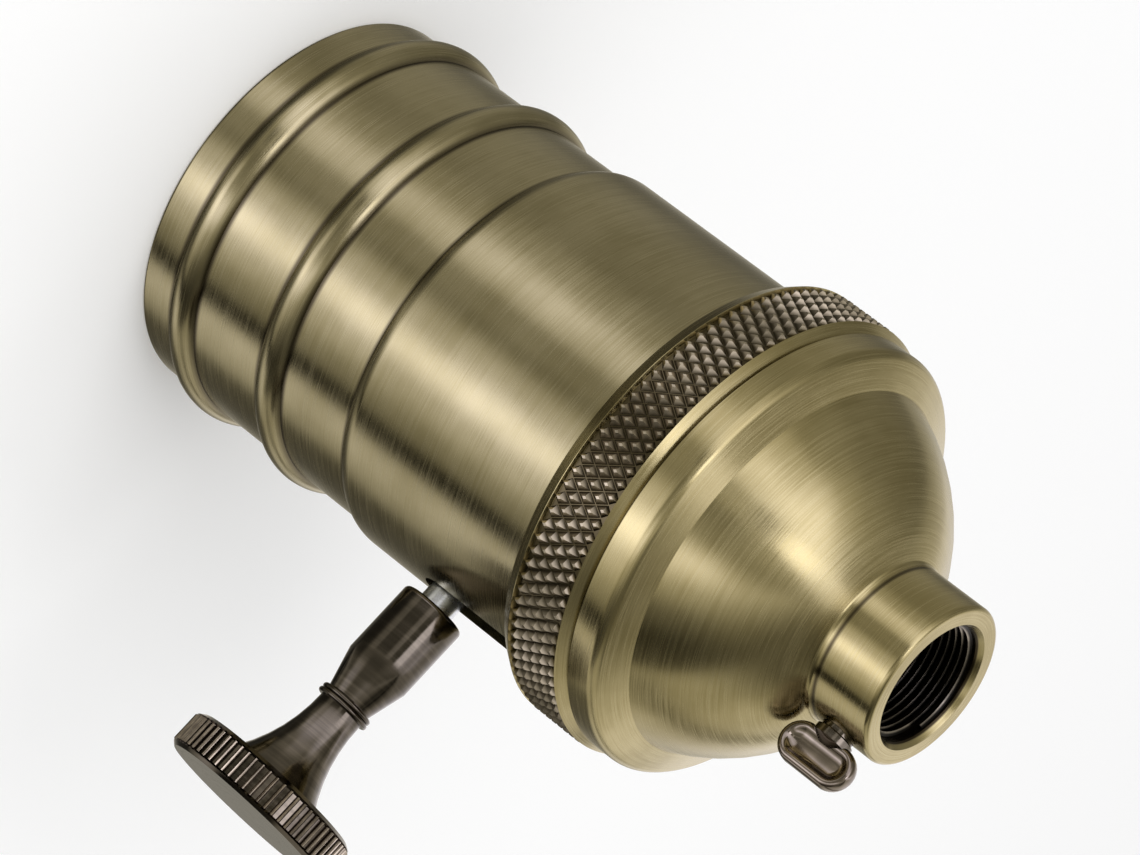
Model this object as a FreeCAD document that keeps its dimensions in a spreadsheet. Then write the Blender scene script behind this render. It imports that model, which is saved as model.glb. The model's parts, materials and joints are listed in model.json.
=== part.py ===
"""Lamp holder with a turn-knob switch: a screw-shell socket in a beaded metal shell.

+Z runs from the lamp mouth to the threaded neck and z = 0 is the mouth rim, so the holder stands
on its mouth.  The switch knob points along +X.  Millimetres.

Every size is a cell of the sheet "dims".  A turned piece is one half section revolved about its
own axis, and every corner of that section is held by a constraint that reads the sheet.
"""
import math
import os

import FreeCAD
import Part
import Sketcher
from FreeCAD import Vector

SIZES = {
    # shell: drawn tube with two rolled beads, a step and a slot for the switch shaft
    "tube_radius": 17.6,
    "step_out": 0.7,
    "shell_wall": 0.8,
    "lip_round": 0.35,
    "bead_one": 3.6,
    "bead_two": 14.15,
    "bead_width": 2.8,
    "bead_proud": 0.95,
    "step_below_shaft": 11.3,
    "step_edge": 0.15,
    "step_rise": 1.4,
    "shell_above_shaft": 18.2,
    "slot_width": 4.4,
    # cap: knurled skirt, shoulder, dome and neck in one turned piece
    "cap_fit": 0.1,
    "skirt_overlap": 8.4,
    "skirt_proud": 1.4,
    "knurl_proud": 2.2,
    "skirt_chamfer": 1.2,
    "knurl_width": 5.2,
    "knurl_count": 84,
    "knurl_slant": 32,
    "knurl_depth": 0.42,
    "knurl_flank": 50,
    "bevel_height": 0.75,
    "groove_proud": 1.2,
    "groove_rise": 0.25,
    "rim_proud": 1.6,
    "rim_height": 2.0,
    "rim_round": 1.0,
    "shoulder_turn": 65,
    "crease_rise": 1.9,
    "dome_drop": 5.0,
    "cap_wall": 1.5,
    "cap_ledge_gap": 0.2,
    "neck_radius": 7.4,
    "neck_fillet": 0.8,
    "neck_length": 5.84,
    "neck_round": 0.45,
    "neck_bore": 5.05,
    "bore_chamfer": 0.8,
    # hand screw in the neck
    "screw_below_top": 3.4,
    "screw_radius": 1.5,
    "running_gap": 0.05,
    "screw_tip": 5.2,
    "head_start": 8.0,
    "head_depth": 3.7,
    "head_length": 7.2,
    "head_thickness": 1.5,
    "head_rim": 0.75,
    "head_dish": 0.4,
    # knob and shaft
    "shaft_height": 35.8,
    "shaft_radius": 1.6,
    "shaft_inner_end": 9.2,
    "knob_clearance": 1.3,
    "barrel_radius": 2.95,
    "barrel_length": 6.8,
    "barrel_round": 0.4,
    "taper_length": 3.4,
    "waist_radius": 2.05,
    "bead_ring_radius": 2.5,
    "bead_ring_width": 0.45,
    "flare_length": 7.7,
    "flare_radius": 4.2,
    "flare_curve": 14.0,
    "disc_radius": 8.25,
    "disc_thickness": 3.4,
    "disc_bevel": 0.35,
    "serration_count": 58,
    "serration_depth": 0.35,
    "knob_recess_radius": 2.2,
    "knob_recess_depth": 0.8,
    "knob_bore_depth": 6.6,
    # lamp cup, the porcelain round the screw shell
    "cup_gap": 0.3,
    "cup_wall": 2.4,
    "cup_end": 3.6,
    "cup_bottom": 3.0,
    "cup_lip": 0.8,
    "flange_gap": 0.1,
    "flange_side_gap": 0.2,
    "flange_thickness": 5.8,
    # screw shell and lamp contact
    "screw_shell_wall": 0.4,
    "screw_shell_bottom": 5.0,
    "screw_shell_gap": 0.35,
    "screw_shell_narrows": 3.2,
    "screw_shell_shoulder": 0.5,
    "eye_margin": 2.5,
    "notch_width": 8.0,
    "contact_width": 5.0,
    "strip_thickness": 0.4,
    "contact_drop": 2.0,
    "contact_margin": 1.35,
    "contact_foot": 5.4,
    "centre_rivet_margin": 2.7,
    "contact_knee": 1.8,
    "contact_tail": 3.2,
    "contact_tip_radius": 1.1,
    "rivet_radius": 1.2,
    "rivet_fit": 0.05,
    "rivet_head_radius": 2.1,
    "rivet_head_height": 0.55,
    "shell_rivet_margin": 4.35,
    "shell_rivet_y": 3.0,
    # switch housing
    "housing_gap": 0.2,
    "housing_roof": 2.5,
    "cavity_above_shaft": 5.7,
    "housing_round": 0.8,
    "cavity_near": 6.5,
    "cavity_far": 9.5,
    "cavity_half_width": 6.2,
    "bush_radius": 2.4,
    "bush_inset": 0.3,
    # rotor and contacts
    "rotor_length": 6.6,
    "rotor_corner_radius": 4.0,
    "rotor_flat": 3.2,
    "hub_radius": 2.6,
    "hub_length": 1.2,
    "contact_plate_thickness": 0.8,
    "contact_plate_ring": 3.4,
    "contact_plate_reach": 4.2,
    "contact_ear_width": 3.0,
    "blade_gap": 0.3,
    "blade_below_shaft": 2.2,
    "blade_above_shaft": 3.2,
    "blade_width": 4.0,
    "blade_fit": 0.1,
    "clip_thickness": 0.5,
    "clip_radius": 3.0,
    "clip_groove": 1.2,
    "clip_gap": 0.1,
    "clip_mouth": 2.0,
    "spring_gap": 0.25,
    "spring_thickness": 0.35,
    "spring_width": 3.0,
    "spring_half_span": 5.6,
    "spring_place": 2.4,
    # terminals and fasteners
    "neutral_margin": 6.0,
    "live_margin": 7.0,
    "line_leg_margin": 2.8,
    "housing_screw_margin_x": 6.6,
    "housing_screw_margin_y": 7.2,
    "terminal_size": 6.6,
    "terminal_plate": 1.0,
    "terminal_ear": 1.6,
    "strap_width": 4.0,
    "strap_thickness": 0.5,
    "terminal_screw_radius": 1.6,
    "terminal_screw_head": 2.8,
    "terminal_screw_head_height": 1.9,
    "terminal_screw_depth": 5.0,
    "screwdriver_width": 0.7,
    "screwdriver_depth": 0.8,
    "housing_screw_radius": 1.4,
    "housing_screw_head": 2.5,
    "housing_screw_head_height": 1.8,
    "housing_screw_sink": 2.4,
    "housing_screw_bite": 2.6,
    # insulating liner between the core and the shell
    "liner_side_gap": 0.2,
    "liner_wall": 0.7,
    "liner_slot": 5.4,
    "liner_gap": 0.1,
}

# Sizes that follow the ones above, so that the pieces keep together when one of them changes.
DERIVED = {
    "body_radius": "tube_radius + step_out",
    "step_start": "shaft_height - step_below_shaft",
    "shell_top": "shaft_height + shell_above_shaft",
    "skirt_bottom": "shell_top - skirt_overlap",
    "skirt_edge": "body_radius + skirt_proud",
    "knurl_radius": "body_radius + knurl_proud",
    "knurl_start": "skirt_bottom + skirt_chamfer",
    "knurl_end": "knurl_start + knurl_width",
    "bevel_end": "knurl_end + bevel_height",
    "groove_radius": "body_radius + groove_proud",
    "rim_start": "bevel_end + groove_rise",
    "rim_radius": "body_radius + rim_proud",
    "rim_top": "rim_start + rim_height",
    "crease_height": "rim_top + crease_rise",
    "dome_radius": "body_radius + cap_fit",
    "dome_centre": "rim_top - dome_drop",
    "cap_ceiling": "shell_top + cap_ledge_gap",
    "neck_foot":
        "dome_centre + sqrt((dome_radius + neck_fillet)^2 - (neck_radius + neck_fillet)^2)",
    "neck_top": "neck_foot + neck_length",
    "screw_height": "neck_top - screw_below_top",
    "knob_start": "body_radius + knob_clearance",
    "shaft_outer_end": "knob_start + knob_bore_depth - 4 * running_gap",
    "flange_radius": "body_radius - shell_wall - flange_side_gap",
    "cup_radius": "tube_radius - shell_wall - cup_gap",
    "cup_bore": "cup_radius - cup_wall",
    "cup_top": "step_start + shell_wall + flange_gap + flange_thickness",
    "cup_ceiling": "cup_top - cup_end",
    "thread_radius": "cup_bore - screw_shell_gap - screw_shell_wall",
    "narrow_start": "cup_ceiling - screw_shell_narrows",
    "contact_root": "thread_radius - contact_margin",
    "contact_bend": "contact_root - contact_foot",
    "centre_rivet_place": "contact_root - centre_rivet_margin",
    "shell_rivet_x": "thread_radius - shell_rivet_margin",
    "screw_shell_eye": "shell_rivet_x - eye_margin",
    "liner_outer": "body_radius - shell_wall - liner_side_gap",
    "liner_inner": "liner_outer - liner_wall",
    "housing_radius": "liner_inner - housing_gap",
    "cavity_top": "shaft_height + cavity_above_shaft",
    "housing_top": "cavity_top + housing_roof",
    "blade_bottom": "shaft_height - blade_below_shaft",
    "blade_top": "shaft_height + blade_above_shaft",
    "blade_leg": "contact_root",
    "terminal_x": "housing_radius - neutral_margin",
    "terminal_y": "housing_radius - live_margin",
    "terminal_leg": "terminal_y + line_leg_margin",
    "housing_screw_x": "housing_radius - housing_screw_margin_x",
    "housing_screw_y": "housing_radius - housing_screw_margin_y",
}

doc = FreeCAD.newDocument("lamp_holder")
dims = doc.addObject("Spreadsheet::Sheet", "dims")
cells = list(SIZES.items()) + [(alias, "=" + rule) for alias, rule in DERIVED.items()]
for row, (alias, content) in enumerate(cells, start=1):
    dims.set(f"A{row}", alias)
    dims.set(f"B{row}", str(content))
    dims.setAlias(f"B{row}", alias)
doc.recompute()

NODES = {}


def bound(expression):
    """Write each size name in an expression as a cell of the sheet."""
    words = []
    word = ""
    for letter in expression + " ":
        if letter.isalnum() or letter == "_":
            word += letter
            continue
        words.append("dims." + word if word in SIZES or word in DERIVED else word)
        words.append(letter)
        word = ""
    return "".join(words).strip()


def value(expression):
    """The number that an expression over the sheet works out to."""
    result = dims.evalExpression(bound(expression))
    return float(getattr(result, "Value", result))


def keep(node, piece):
    """Give the finished piece its name and remember it as a node."""
    piece.Label = node
    NODES[node] = piece
    return piece


def primitive(kind, placed=(), **sizes):
    """A Part primitive whose sizes and place are bound to the sheet."""
    piece = doc.addObject("Part::" + kind, kind.lower())
    for name, expression in sizes.items():
        piece.setExpression(name, bound(expression))
    for axis, expression in zip("xyz", placed):
        piece.setExpression(f".Placement.Base.{axis}", bound(expression))
    return piece


def turned_to_x(piece):
    """Lay a primitive that was made along Z down along X."""
    piece.Placement.Rotation = FreeCAD.Rotation(Vector(0, 1, 0), 90)
    return piece


def block(x_from, x_to, y_from, y_to, z_from, z_to):
    """A box between two corners, each given as an expression."""
    return primitive(
        "Box", (x_from, y_from, z_from), Length=f"({x_to}) - ({x_from})",
        Width=f"({y_to}) - ({y_from})", Height=f"({z_to}) - ({z_from})",
    )


def rod(radius, z_from, z_to, x="0", y="0"):
    """A cylinder along Z."""
    return primitive("Cylinder", (x, y, z_from), Radius=radius, Height=f"({z_to}) - ({z_from})")


def spindle(radius, x_from, x_to):
    """A cylinder along X on the switch axis."""
    piece = primitive(
        "Cylinder", (x_from, "0", "shaft_height"), Radius=radius, Height=f"({x_to}) - ({x_from})",
    )
    return turned_to_x(piece)


def fuse(*pieces):
    """One solid out of several."""
    piece = doc.addObject("Part::MultiFuse", "fuse")
    piece.Shapes = list(pieces)
    piece.Refine = True
    return piece


def cut(base, *tools):
    """The base with each tool taken out of it."""
    for tool in tools:
        piece = doc.addObject("Part::Cut", "cut")
        piece.Base = base
        piece.Tool = tool
        piece.Refine = True
        base = piece
    return base


def group(*pieces):
    """Separate like pieces kept together in one node."""
    piece = doc.addObject("Part::Compound", "group")
    piece.Links = list(pieces)
    return piece


def origin_plane(body, role):
    """One of a body's own origin planes or axes."""
    return next(item for item in body.Origin.OriginFeatures if item.Role == role)


def arc_middle(start, end, radius, side):
    """The middle point of the arc of a given radius; side is +1 when it bulges to the left."""
    chord = end - start
    half = chord.Length / 2
    rise = abs(radius) - math.sqrt(max(radius * radius - half * half, 0.0))
    left = Vector(-chord.y, chord.x, 0)
    left.normalize()
    return (start + end) * 0.5 + left * (rise * side)


def outline_sketch(body, plane, corners, name):
    """A closed outline on an origin plane, with every corner and radius bound to the sheet.

    A corner is (across, up) or (across, up, radius, side) when an arc runs on to the next corner.
    """
    sketch = body.newObject("Sketcher::SketchObject", name)
    sketch.AttachmentSupport = [(origin_plane(body, plane), "")]
    sketch.MapMode = "FlatFace"
    places = [Vector(value(corner[0]), value(corner[1]), 0) for corner in corners]
    bindings = []
    for index, corner in enumerate(corners):
        start = places[index]
        end = places[(index + 1) % len(places)]
        if len(corner) == 2:
            sketch.addGeometry(Part.LineSegment(start, end), False)
            continue
        middle = arc_middle(start, end, value(corner[2]), corner[3])
        sketch.addGeometry(Part.Arc(start, middle, end), False)
        bindings.append((index, corner[2]))
    ends = {}
    for index, place in enumerate(places):
        first = sketch.getPoint(index, 1)
        ends[index] = (1, 2) if first.distanceToPoint(place) < 1e-6 else (2, 1)
    for index, corner in enumerate(corners):
        following = (index + 1) % len(corners)
        sketch.addConstraint(
            Sketcher.Constraint("Coincident", index, ends[index][1], following, ends[following][0])
        )
        for kind, expression, number in (
            ("DistanceX", corner[0], places[index].x),
            ("DistanceY", corner[1], places[index].y),
        ):
            place = sketch.addConstraint(
                Sketcher.Constraint(kind, -1, 1, index, ends[index][0], number)
            )
            sketch.setExpression(f"Constraints[{place}]", bound(expression))
    for index, radius in bindings:
        place = sketch.addConstraint(Sketcher.Constraint("Radius", index, value(radius)))
        sketch.setExpression(f"Constraints[{place}]", bound(radius))
    return sketch


def new_body(node):
    """An empty PartDesign body."""
    return doc.addObject("PartDesign::Body", node + "_body")


def revolved(node, corners, body=None):
    """A turned piece about Z: its corners are (radius, height)."""
    body = body or new_body(node)
    sketch = outline_sketch(body, "XZ_Plane", corners, node + "_section")
    turn = body.newObject("PartDesign::Revolution", node + "_turned")
    turn.Profile = sketch
    turn.ReferenceAxis = (sketch, ["V_Axis"])
    turn.Angle = 360
    return body


def folded(node, corners, width, across="0"):
    """A strip whose side view is on the YZ plane, with its width along X."""
    body = new_body(node)
    sketch = outline_sketch(body, "YZ_Plane", corners, node + "_side")
    pad = body.newObject("PartDesign::Pad", node + "_width")
    pad.Profile = sketch
    pad.Midplane = True
    pad.setExpression("Length", bound(width))
    body.setExpression(".Placement.Base.x", bound(across))
    return body


def on_switch_axis(body):
    """Lay a body that was turned about Z along the switch axis, with its heights along X."""
    body.Placement.Rotation = FreeCAD.Rotation(Vector(0, 1, 0), 90)
    body.setExpression(".Placement.Base.z", bound("shaft_height"))
    return body


# ---- shell -------------------------------------------------------------------------------------

BEAD_ARC = "(bead_proud^2 + (bead_width / 2)^2) / (2 * bead_proud)"
BEAD_INSIDE = "(bead_width - shell_wall) / 2"
BEAD_INSIDE_ARC = f"(bead_proud^2 + ({BEAD_INSIDE})^2) / (2 * bead_proud)"
STEP_OUT = "(body_radius - tube_radius - step_edge)"
STEP_ARC = f"({STEP_OUT}^2 + step_rise^2) / (2 * {STEP_OUT})"


def make_shell():
    """The drawn tube: rolled beads stand out of both faces of the sheet, and the step inside
    is the ledge that the core hangs on."""
    outside = [
        ("tube_radius - shell_wall", "0"),
        ("tube_radius - lip_round", "0", "lip_round", -1),
        ("tube_radius", "lip_round"),
        ("tube_radius", "bead_one", BEAD_ARC, -1),
        ("tube_radius", "bead_one + bead_width"),
        ("tube_radius", "bead_two", BEAD_ARC, -1),
        ("tube_radius", "bead_two + bead_width"),
        ("tube_radius", "step_start"),
        ("tube_radius + step_edge", "step_start", STEP_ARC, -1),
        ("body_radius", "step_start + step_rise"),
        ("body_radius", "shell_top"),
        ("body_radius - shell_wall", "shell_top"),
        ("body_radius - shell_wall", "step_start + shell_wall"),
        ("tube_radius - shell_wall", "step_start + shell_wall"),
    ]
    inside = []
    for bead in ("bead_two", "bead_one"):
        middle = f"{bead} + bead_width / 2"
        inside.append(
            ("tube_radius - shell_wall", f"{middle} + {BEAD_INSIDE}", BEAD_INSIDE_ARC, 1)
        )
        inside.append(("tube_radius - shell_wall", f"{middle} - {BEAD_INSIDE}"))
    tube = revolved("shell", outside + inside)
    slot_end = spindle("slot_width / 2", "0", "body_radius + shell_wall")
    slot = block(
        "0", "body_radius + shell_wall", "-slot_width / 2", "slot_width / 2",
        "shaft_height", "shell_top + shell_wall",
    )
    keep("shell", cut(tube, slot_end, slot))


# ---- cap ---------------------------------------------------------------------------------------

DOME_INSIDE = "(dome_radius - cap_wall)"
FILLET_REACH = "(dome_radius + neck_fillet)"


def knurl_grooves(slant):
    """One set of the knurl's V grooves, as three-sided bars that lean across the band."""
    bottom = value("knurl_radius - knurl_depth")
    reach = value("knurl_depth * 2")
    half_width = reach * math.tan(math.radians(value("knurl_flank")))
    length = value("knurl_width + 4 * bevel_height") / math.cos(math.radians(slant))
    middle = value("(knurl_start + knurl_end) / 2")
    count = int(value("knurl_count"))
    corners = [
        Vector(bottom, 0, 0), Vector(bottom + reach, half_width, 0),
        Vector(bottom + reach, -half_width, 0),
    ]
    bar = Part.Face(Part.makePolygon(corners + corners[:1])).extrude(Vector(0, 0, length))
    bar.translate(Vector(0, 0, -length / 2))
    bar.rotate(Vector(0, 0, 0), Vector(1, 0, 0), slant)
    bar.translate(Vector(0, 0, middle))
    bars = []
    for index in range(count):
        turned = bar.copy()
        turned.rotate(Vector(0, 0, 0), Vector(0, 0, 1), 360.0 * index / count)
        bars.append(turned)
    grooves = doc.addObject("Part::Feature", "knurl_grooves")
    grooves.Shape = Part.makeCompound(bars)
    return grooves


def make_cap():
    """Knurled skirt, rounded rim, sloping shoulder, dome and neck, turned in one piece."""
    section = [
        ("body_radius + cap_fit", "skirt_bottom"),
        ("skirt_edge", "skirt_bottom"),
        ("knurl_radius", "knurl_start"),
        ("knurl_radius", "knurl_end"),
        ("groove_radius", "bevel_end"),
        ("rim_radius", "rim_start"),
        ("rim_radius", "rim_top", "rim_round", -1),
        (
            "rim_radius - rim_round * (1 - cos(shoulder_turn * 1 deg))",
            "rim_top + rim_round * sin(shoulder_turn * 1 deg)",
        ),
        (
            "sqrt(dome_radius^2 - (crease_height - dome_centre)^2)", "crease_height",
            "dome_radius", -1,
        ),
        (
            f"(neck_radius + neck_fillet) * dome_radius / {FILLET_REACH}",
            f"dome_centre + (neck_foot - dome_centre) * dome_radius / {FILLET_REACH}",
            "neck_fillet", 1,
        ),
        ("neck_radius", "neck_foot"),
        ("neck_radius", "neck_top - neck_round", "neck_round", -1),
        ("neck_radius - neck_round", "neck_top"),
        ("neck_bore + bore_chamfer", "neck_top"),
        ("neck_bore", "neck_top - bore_chamfer"),
        ("neck_bore", f"dome_centre + sqrt({DOME_INSIDE}^2 - neck_bore^2)", DOME_INSIDE, 1),
        (f"sqrt({DOME_INSIDE}^2 - (cap_ceiling - dome_centre)^2)", "cap_ceiling"),
        ("body_radius + cap_fit", "cap_ceiling"),
    ]
    screw_hole = primitive(
        "Cylinder", ("0", "0", "screw_height"), Radius="screw_radius + running_gap",
        Height="neck_radius + neck_fillet",
    )
    slants = (value("knurl_slant"), -value("knurl_slant"))
    grooves = [knurl_grooves(slant) for slant in slants]
    keep("cap", cut(revolved("cap", section), turned_to_x(screw_hole), *grooves))


HEAD_MIDDLE = "(head_start + head_depth / 2)"


def racetrack(half_width, half_straight, y_from, y_to):
    """An oval plate in the plane of the neck axis, long along Z."""
    plate = [
        block(
            f"{HEAD_MIDDLE} - ({half_width})", f"{HEAD_MIDDLE} + {half_width}", y_from, y_to,
            f"screw_height - ({half_straight})", f"screw_height + {half_straight}",
        )
    ]
    for side in ("-", "+"):
        end = primitive(
            "Cylinder", (HEAD_MIDDLE, y_from, f"screw_height {side} ({half_straight})"),
            Radius=half_width, Height=f"({y_to}) - ({y_from})",
        )
        end.Placement.Rotation = FreeCAD.Rotation(Vector(1, 0, 0), -90)
        plate.append(end)
    return fuse(*plate)


def make_neck_screw():
    """Hand screw that clamps the threaded tube: an oval plate, dished on both faces."""
    straight = "(head_length - head_depth) / 2"
    head = racetrack("head_depth / 2", straight, "-head_thickness / 2", "head_thickness / 2")
    dishes = [
        racetrack("head_depth / 2 - head_rim", straight, y_from, y_to)
        for y_from, y_to in (
            ("-head_thickness", "head_dish - head_thickness / 2"),
            ("head_thickness / 2 - head_dish", "head_thickness"),
        )
    ]
    shank = primitive(
        "Cylinder", ("screw_tip", "0", "screw_height"), Radius="screw_radius",
        Height="head_start + head_rim - screw_tip",
    )
    keep("neck_screw", fuse(cut(head, *dishes), turned_to_x(shank)))


# ---- knob, shaft and what turns with them ------------------------------------------------------

BORE = "(shaft_radius + running_gap)"
TAPER_END = "knob_start + barrel_length + taper_length"
COLLAR = "(bead_ring_radius - bead_ring_width * 0.45)"
RING_ARC = "((0.45 * bead_ring_width)^2 + (bead_ring_width / 2)^2) / (0.9 * bead_ring_width)"
FLARE_START = TAPER_END + " + 2 * bead_ring_width"
DISC_START = FLARE_START + " + flare_length"
DISC_END = DISC_START + " + disc_thickness"


def make_knob():
    """The turned knob: barrel, taper, two fine rings, a trumpet flare and a serrated disc."""
    section = [
        (BORE, "knob_start + knob_recess_depth"),
        ("knob_recess_radius", "knob_start + knob_recess_depth"),
        ("knob_recess_radius", "knob_start"),
        ("barrel_radius - barrel_round", "knob_start", "barrel_round", -1),
        ("barrel_radius", "knob_start + barrel_round"),
        ("barrel_radius", "knob_start + barrel_length"),
        ("waist_radius", TAPER_END),
        (COLLAR, TAPER_END, RING_ARC, -1),
        (COLLAR, TAPER_END + " + bead_ring_width", RING_ARC, -1),
        (COLLAR, FLARE_START),
        ("waist_radius", FLARE_START, "flare_curve", 1),
        ("flare_radius", DISC_START),
        ("disc_radius - disc_bevel", DISC_START),
        ("disc_radius", DISC_START + " + disc_bevel"),
        ("disc_radius", DISC_END + " - disc_bevel"),
        ("disc_radius - disc_bevel", DISC_END),
        ("0", DISC_END),
        ("0", "knob_start + knob_bore_depth"),
        (BORE, "knob_start + knob_bore_depth"),
    ]
    body = revolved("knob", section)
    half_pitch = "pi * disc_radius / serration_count"
    notch = outline_sketch(
        body, "XY_Plane",
        [
            ("disc_radius - serration_depth", "0"),
            ("disc_radius + serration_depth", f"-{half_pitch} * 1.6"),
            ("disc_radius + serration_depth", f"{half_pitch} * 1.6"),
        ],
        "serration",
    )
    pocket = body.newObject("PartDesign::Pocket", "serration_cut")
    pocket.Profile = notch
    pocket.Midplane = True
    pocket.setExpression("Length", bound(f"2 * ({DISC_END} + disc_bevel)"))
    ring = body.newObject("PartDesign::PolarPattern", "serrations")
    ring.Originals = [pocket]
    ring.Axis = (origin_plane(body, "Z_Axis"), [""])
    ring.Angle = 360
    ring.setExpression("Occurrences", bound("serration_count"))
    body.Tip = ring
    keep("knob", on_switch_axis(body))


CLIP_START = "cavity_far - clip_gap - clip_thickness"
CLIP_END = "cavity_far - clip_gap"


def make_shaft():
    """Plated steel shaft with a groove for its clip and a chamfered outer end."""
    section = [
        ("0", "-shaft_inner_end"),
        ("shaft_radius", "-shaft_inner_end"),
        ("shaft_radius", CLIP_START + " - rivet_fit"),
        ("clip_groove", CLIP_START + " - rivet_fit"),
        ("clip_groove", CLIP_END + " + rivet_fit"),
        ("shaft_radius", CLIP_END + " + rivet_fit"),
        ("shaft_radius", "shaft_outer_end - barrel_round"),
        ("shaft_radius - barrel_round", "shaft_outer_end"),
        ("0", "shaft_outer_end"),
    ]
    keep("knob_shaft", on_switch_axis(revolved("knob_shaft", section)))


def make_clip():
    """Spring clip in the shaft's groove: it keeps the shaft from being pulled out."""
    ring = spindle("clip_radius", CLIP_START, CLIP_END)
    eye = spindle("clip_groove + rivet_fit", CLIP_START, CLIP_END)
    mouth = block(
        CLIP_START, CLIP_END, "-clip_mouth / 2", "clip_mouth / 2",
        "shaft_height - clip_radius", "shaft_height",
    )
    keep("shaft_clip", cut(ring, eye, mouth))


def make_bush():
    """Bronze bush in the housing wall that the shaft turns in."""
    sleeve = spindle("bush_radius", "cavity_far", "housing_radius - bush_inset")
    eye = spindle(BORE, "cavity_far", "housing_radius - bush_inset")
    keep("shaft_bush", cut(sleeve, eye))


PLATE_SIDE = "contact_plate_thickness / 2"


def common(first, second):
    """What two pieces share."""
    piece = doc.addObject("Part::Common", "common")
    piece.Base = first
    piece.Tool = second
    piece.Refine = True
    return piece


def make_rotor():
    """Moulded cam with four rounded lobes, and the hub that carries the moving contact."""
    cam_end = PLATE_SIDE + " + rotor_length"
    square = block(
        PLATE_SIDE, cam_end, "-rotor_flat", "rotor_flat",
        "shaft_height - rotor_flat", "shaft_height + rotor_flat",
    )
    cam = common(square, spindle("rotor_corner_radius", PLATE_SIDE, cam_end))
    hub_start = f"-({PLATE_SIDE}) - hub_length"
    hub = spindle("hub_radius", hub_start, cam_end)
    eye = spindle("shaft_radius + rivet_fit", hub_start, cam_end)
    keep("switch_rotor", cut(fuse(cam, hub), eye))


def make_rotor_contact():
    """Stamped contact plate: a ring on the hub with an ear on each side."""
    sides = (f"-({PLATE_SIDE})", PLATE_SIDE)
    ring = spindle("contact_plate_ring", *sides)
    bar = block(
        *sides, "-contact_plate_reach", "contact_plate_reach",
        "shaft_height - contact_ear_width / 2", "shaft_height + contact_ear_width / 2",
    )
    ears = common(bar, spindle("contact_plate_reach", *sides))
    keep("rotor_contact", cut(fuse(ring, ears), spindle("hub_radius + rivet_fit", *sides)))


# ---- core: lamp cup, screw shell and lamp contact ----------------------------------------------

LEDGE = "step_start + shell_wall + flange_gap"
HOUSING_SCREWS = (
    ("housing_screw_x", "-housing_screw_y"),
    ("-housing_screw_x", "housing_screw_y"),
)
SHELL_RIVETS = (
    ("-shell_rivet_x", "shell_rivet_y", "cup_top + strap_thickness"),
    ("shell_rivet_x", "shell_rivet_y", "cup_top"),
)


def make_lamp_cup():
    """Porcelain cup round the screw shell, with the flange that rests on the shell's ledge."""
    section = [
        ("cup_bore + cup_lip", "cup_bottom"),
        ("cup_radius - cup_lip", "cup_bottom", "cup_lip", -1),
        ("cup_radius", "cup_bottom + cup_lip"),
        ("cup_radius", LEDGE),
        ("flange_radius", LEDGE),
        ("flange_radius", "cup_top"),
        ("0", "cup_top"),
        ("0", "cup_ceiling"),
        ("cup_bore", "cup_ceiling"),
        ("cup_bore", "cup_bottom + cup_lip", "cup_lip", -1),
    ]
    through = ("cup_ceiling - rivet_fit", "cup_top + rivet_fit")
    holes = [rod("rivet_radius + rivet_fit", *through, "0", "-centre_rivet_place")]
    for x, y, _ in SHELL_RIVETS:
        holes.append(rod("rivet_radius + rivet_fit", *through, x, y))
    for x, y in HOUSING_SCREWS:
        holes.append(
            rod(
                "housing_screw_radius + rivet_fit", "cup_top - housing_screw_bite - rivet_fit",
                "cup_top + rivet_fit", x, y,
            )
        )
    keep("lamp_cup", cut(revolved("lamp_cup", section), *holes))


NARROW = "(thread_radius - screw_shell_shoulder)"


def make_screw_shell():
    """Brass screw shell: a sleeve that narrows to a pierced end, riveted under the cup's ceiling."""
    section = [
        ("thread_radius", "screw_shell_bottom"),
        ("thread_radius + screw_shell_wall", "screw_shell_bottom"),
        ("thread_radius + screw_shell_wall", "narrow_start"),
        (f"{NARROW} + screw_shell_wall", "narrow_start + screw_shell_shoulder"),
        (f"{NARROW} + screw_shell_wall", "cup_ceiling"),
        ("screw_shell_eye", "cup_ceiling"),
        ("screw_shell_eye", "cup_ceiling - screw_shell_wall"),
        (NARROW, "cup_ceiling - screw_shell_wall"),
        (NARROW, "narrow_start + screw_shell_shoulder"),
        ("thread_radius", "narrow_start"),
    ]
    end = ("cup_ceiling - 2 * screw_shell_wall", "cup_ceiling + screw_shell_wall")
    notch = block(
        "-notch_width / 2", "notch_width / 2", "-contact_root - strip_thickness", "0", *end
    )
    holes = [rod("rivet_radius + rivet_fit", *end, x, y) for x, y, _ in SHELL_RIVETS]
    keep("screw_shell", cut(revolved("screw_shell", section), notch, *holes))


def make_centre_contact():
    """Springy tongue that meets the lamp's end: fixed at one end, with a raised tip."""
    low = "cup_ceiling - contact_drop"
    strip = folded(
        "centre_contact",
        [
            ("-contact_root", "cup_ceiling"),
            ("-contact_root", "cup_ceiling - strip_thickness"),
            ("-contact_bend", "cup_ceiling - strip_thickness"),
            ("-contact_knee", low + " - strip_thickness"),
            ("contact_tail", low + " - strip_thickness"),
            ("contact_tail", low),
            ("-contact_knee", low),
            ("-contact_bend", "cup_ceiling"),
        ],
        "contact_width",
    )
    tip = rod("contact_tip_radius", low + " - 2 * strip_thickness", low)
    hole = rod(
        "rivet_radius + rivet_fit", low, "cup_ceiling + rivet_fit", "0", "-centre_rivet_place"
    )
    keep("centre_contact", cut(fuse(strip, tip), hole))


def rivet(x, y, under, over):
    """A rivet with a head below the height under and one above the height over."""
    return fuse(
        rod("rivet_radius", under, over, x, y),
        rod("rivet_head_radius", f"{under} - rivet_head_height", under, x, y),
        rod("rivet_head_radius", over, f"{over} + rivet_head_height", x, y),
    )


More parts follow.
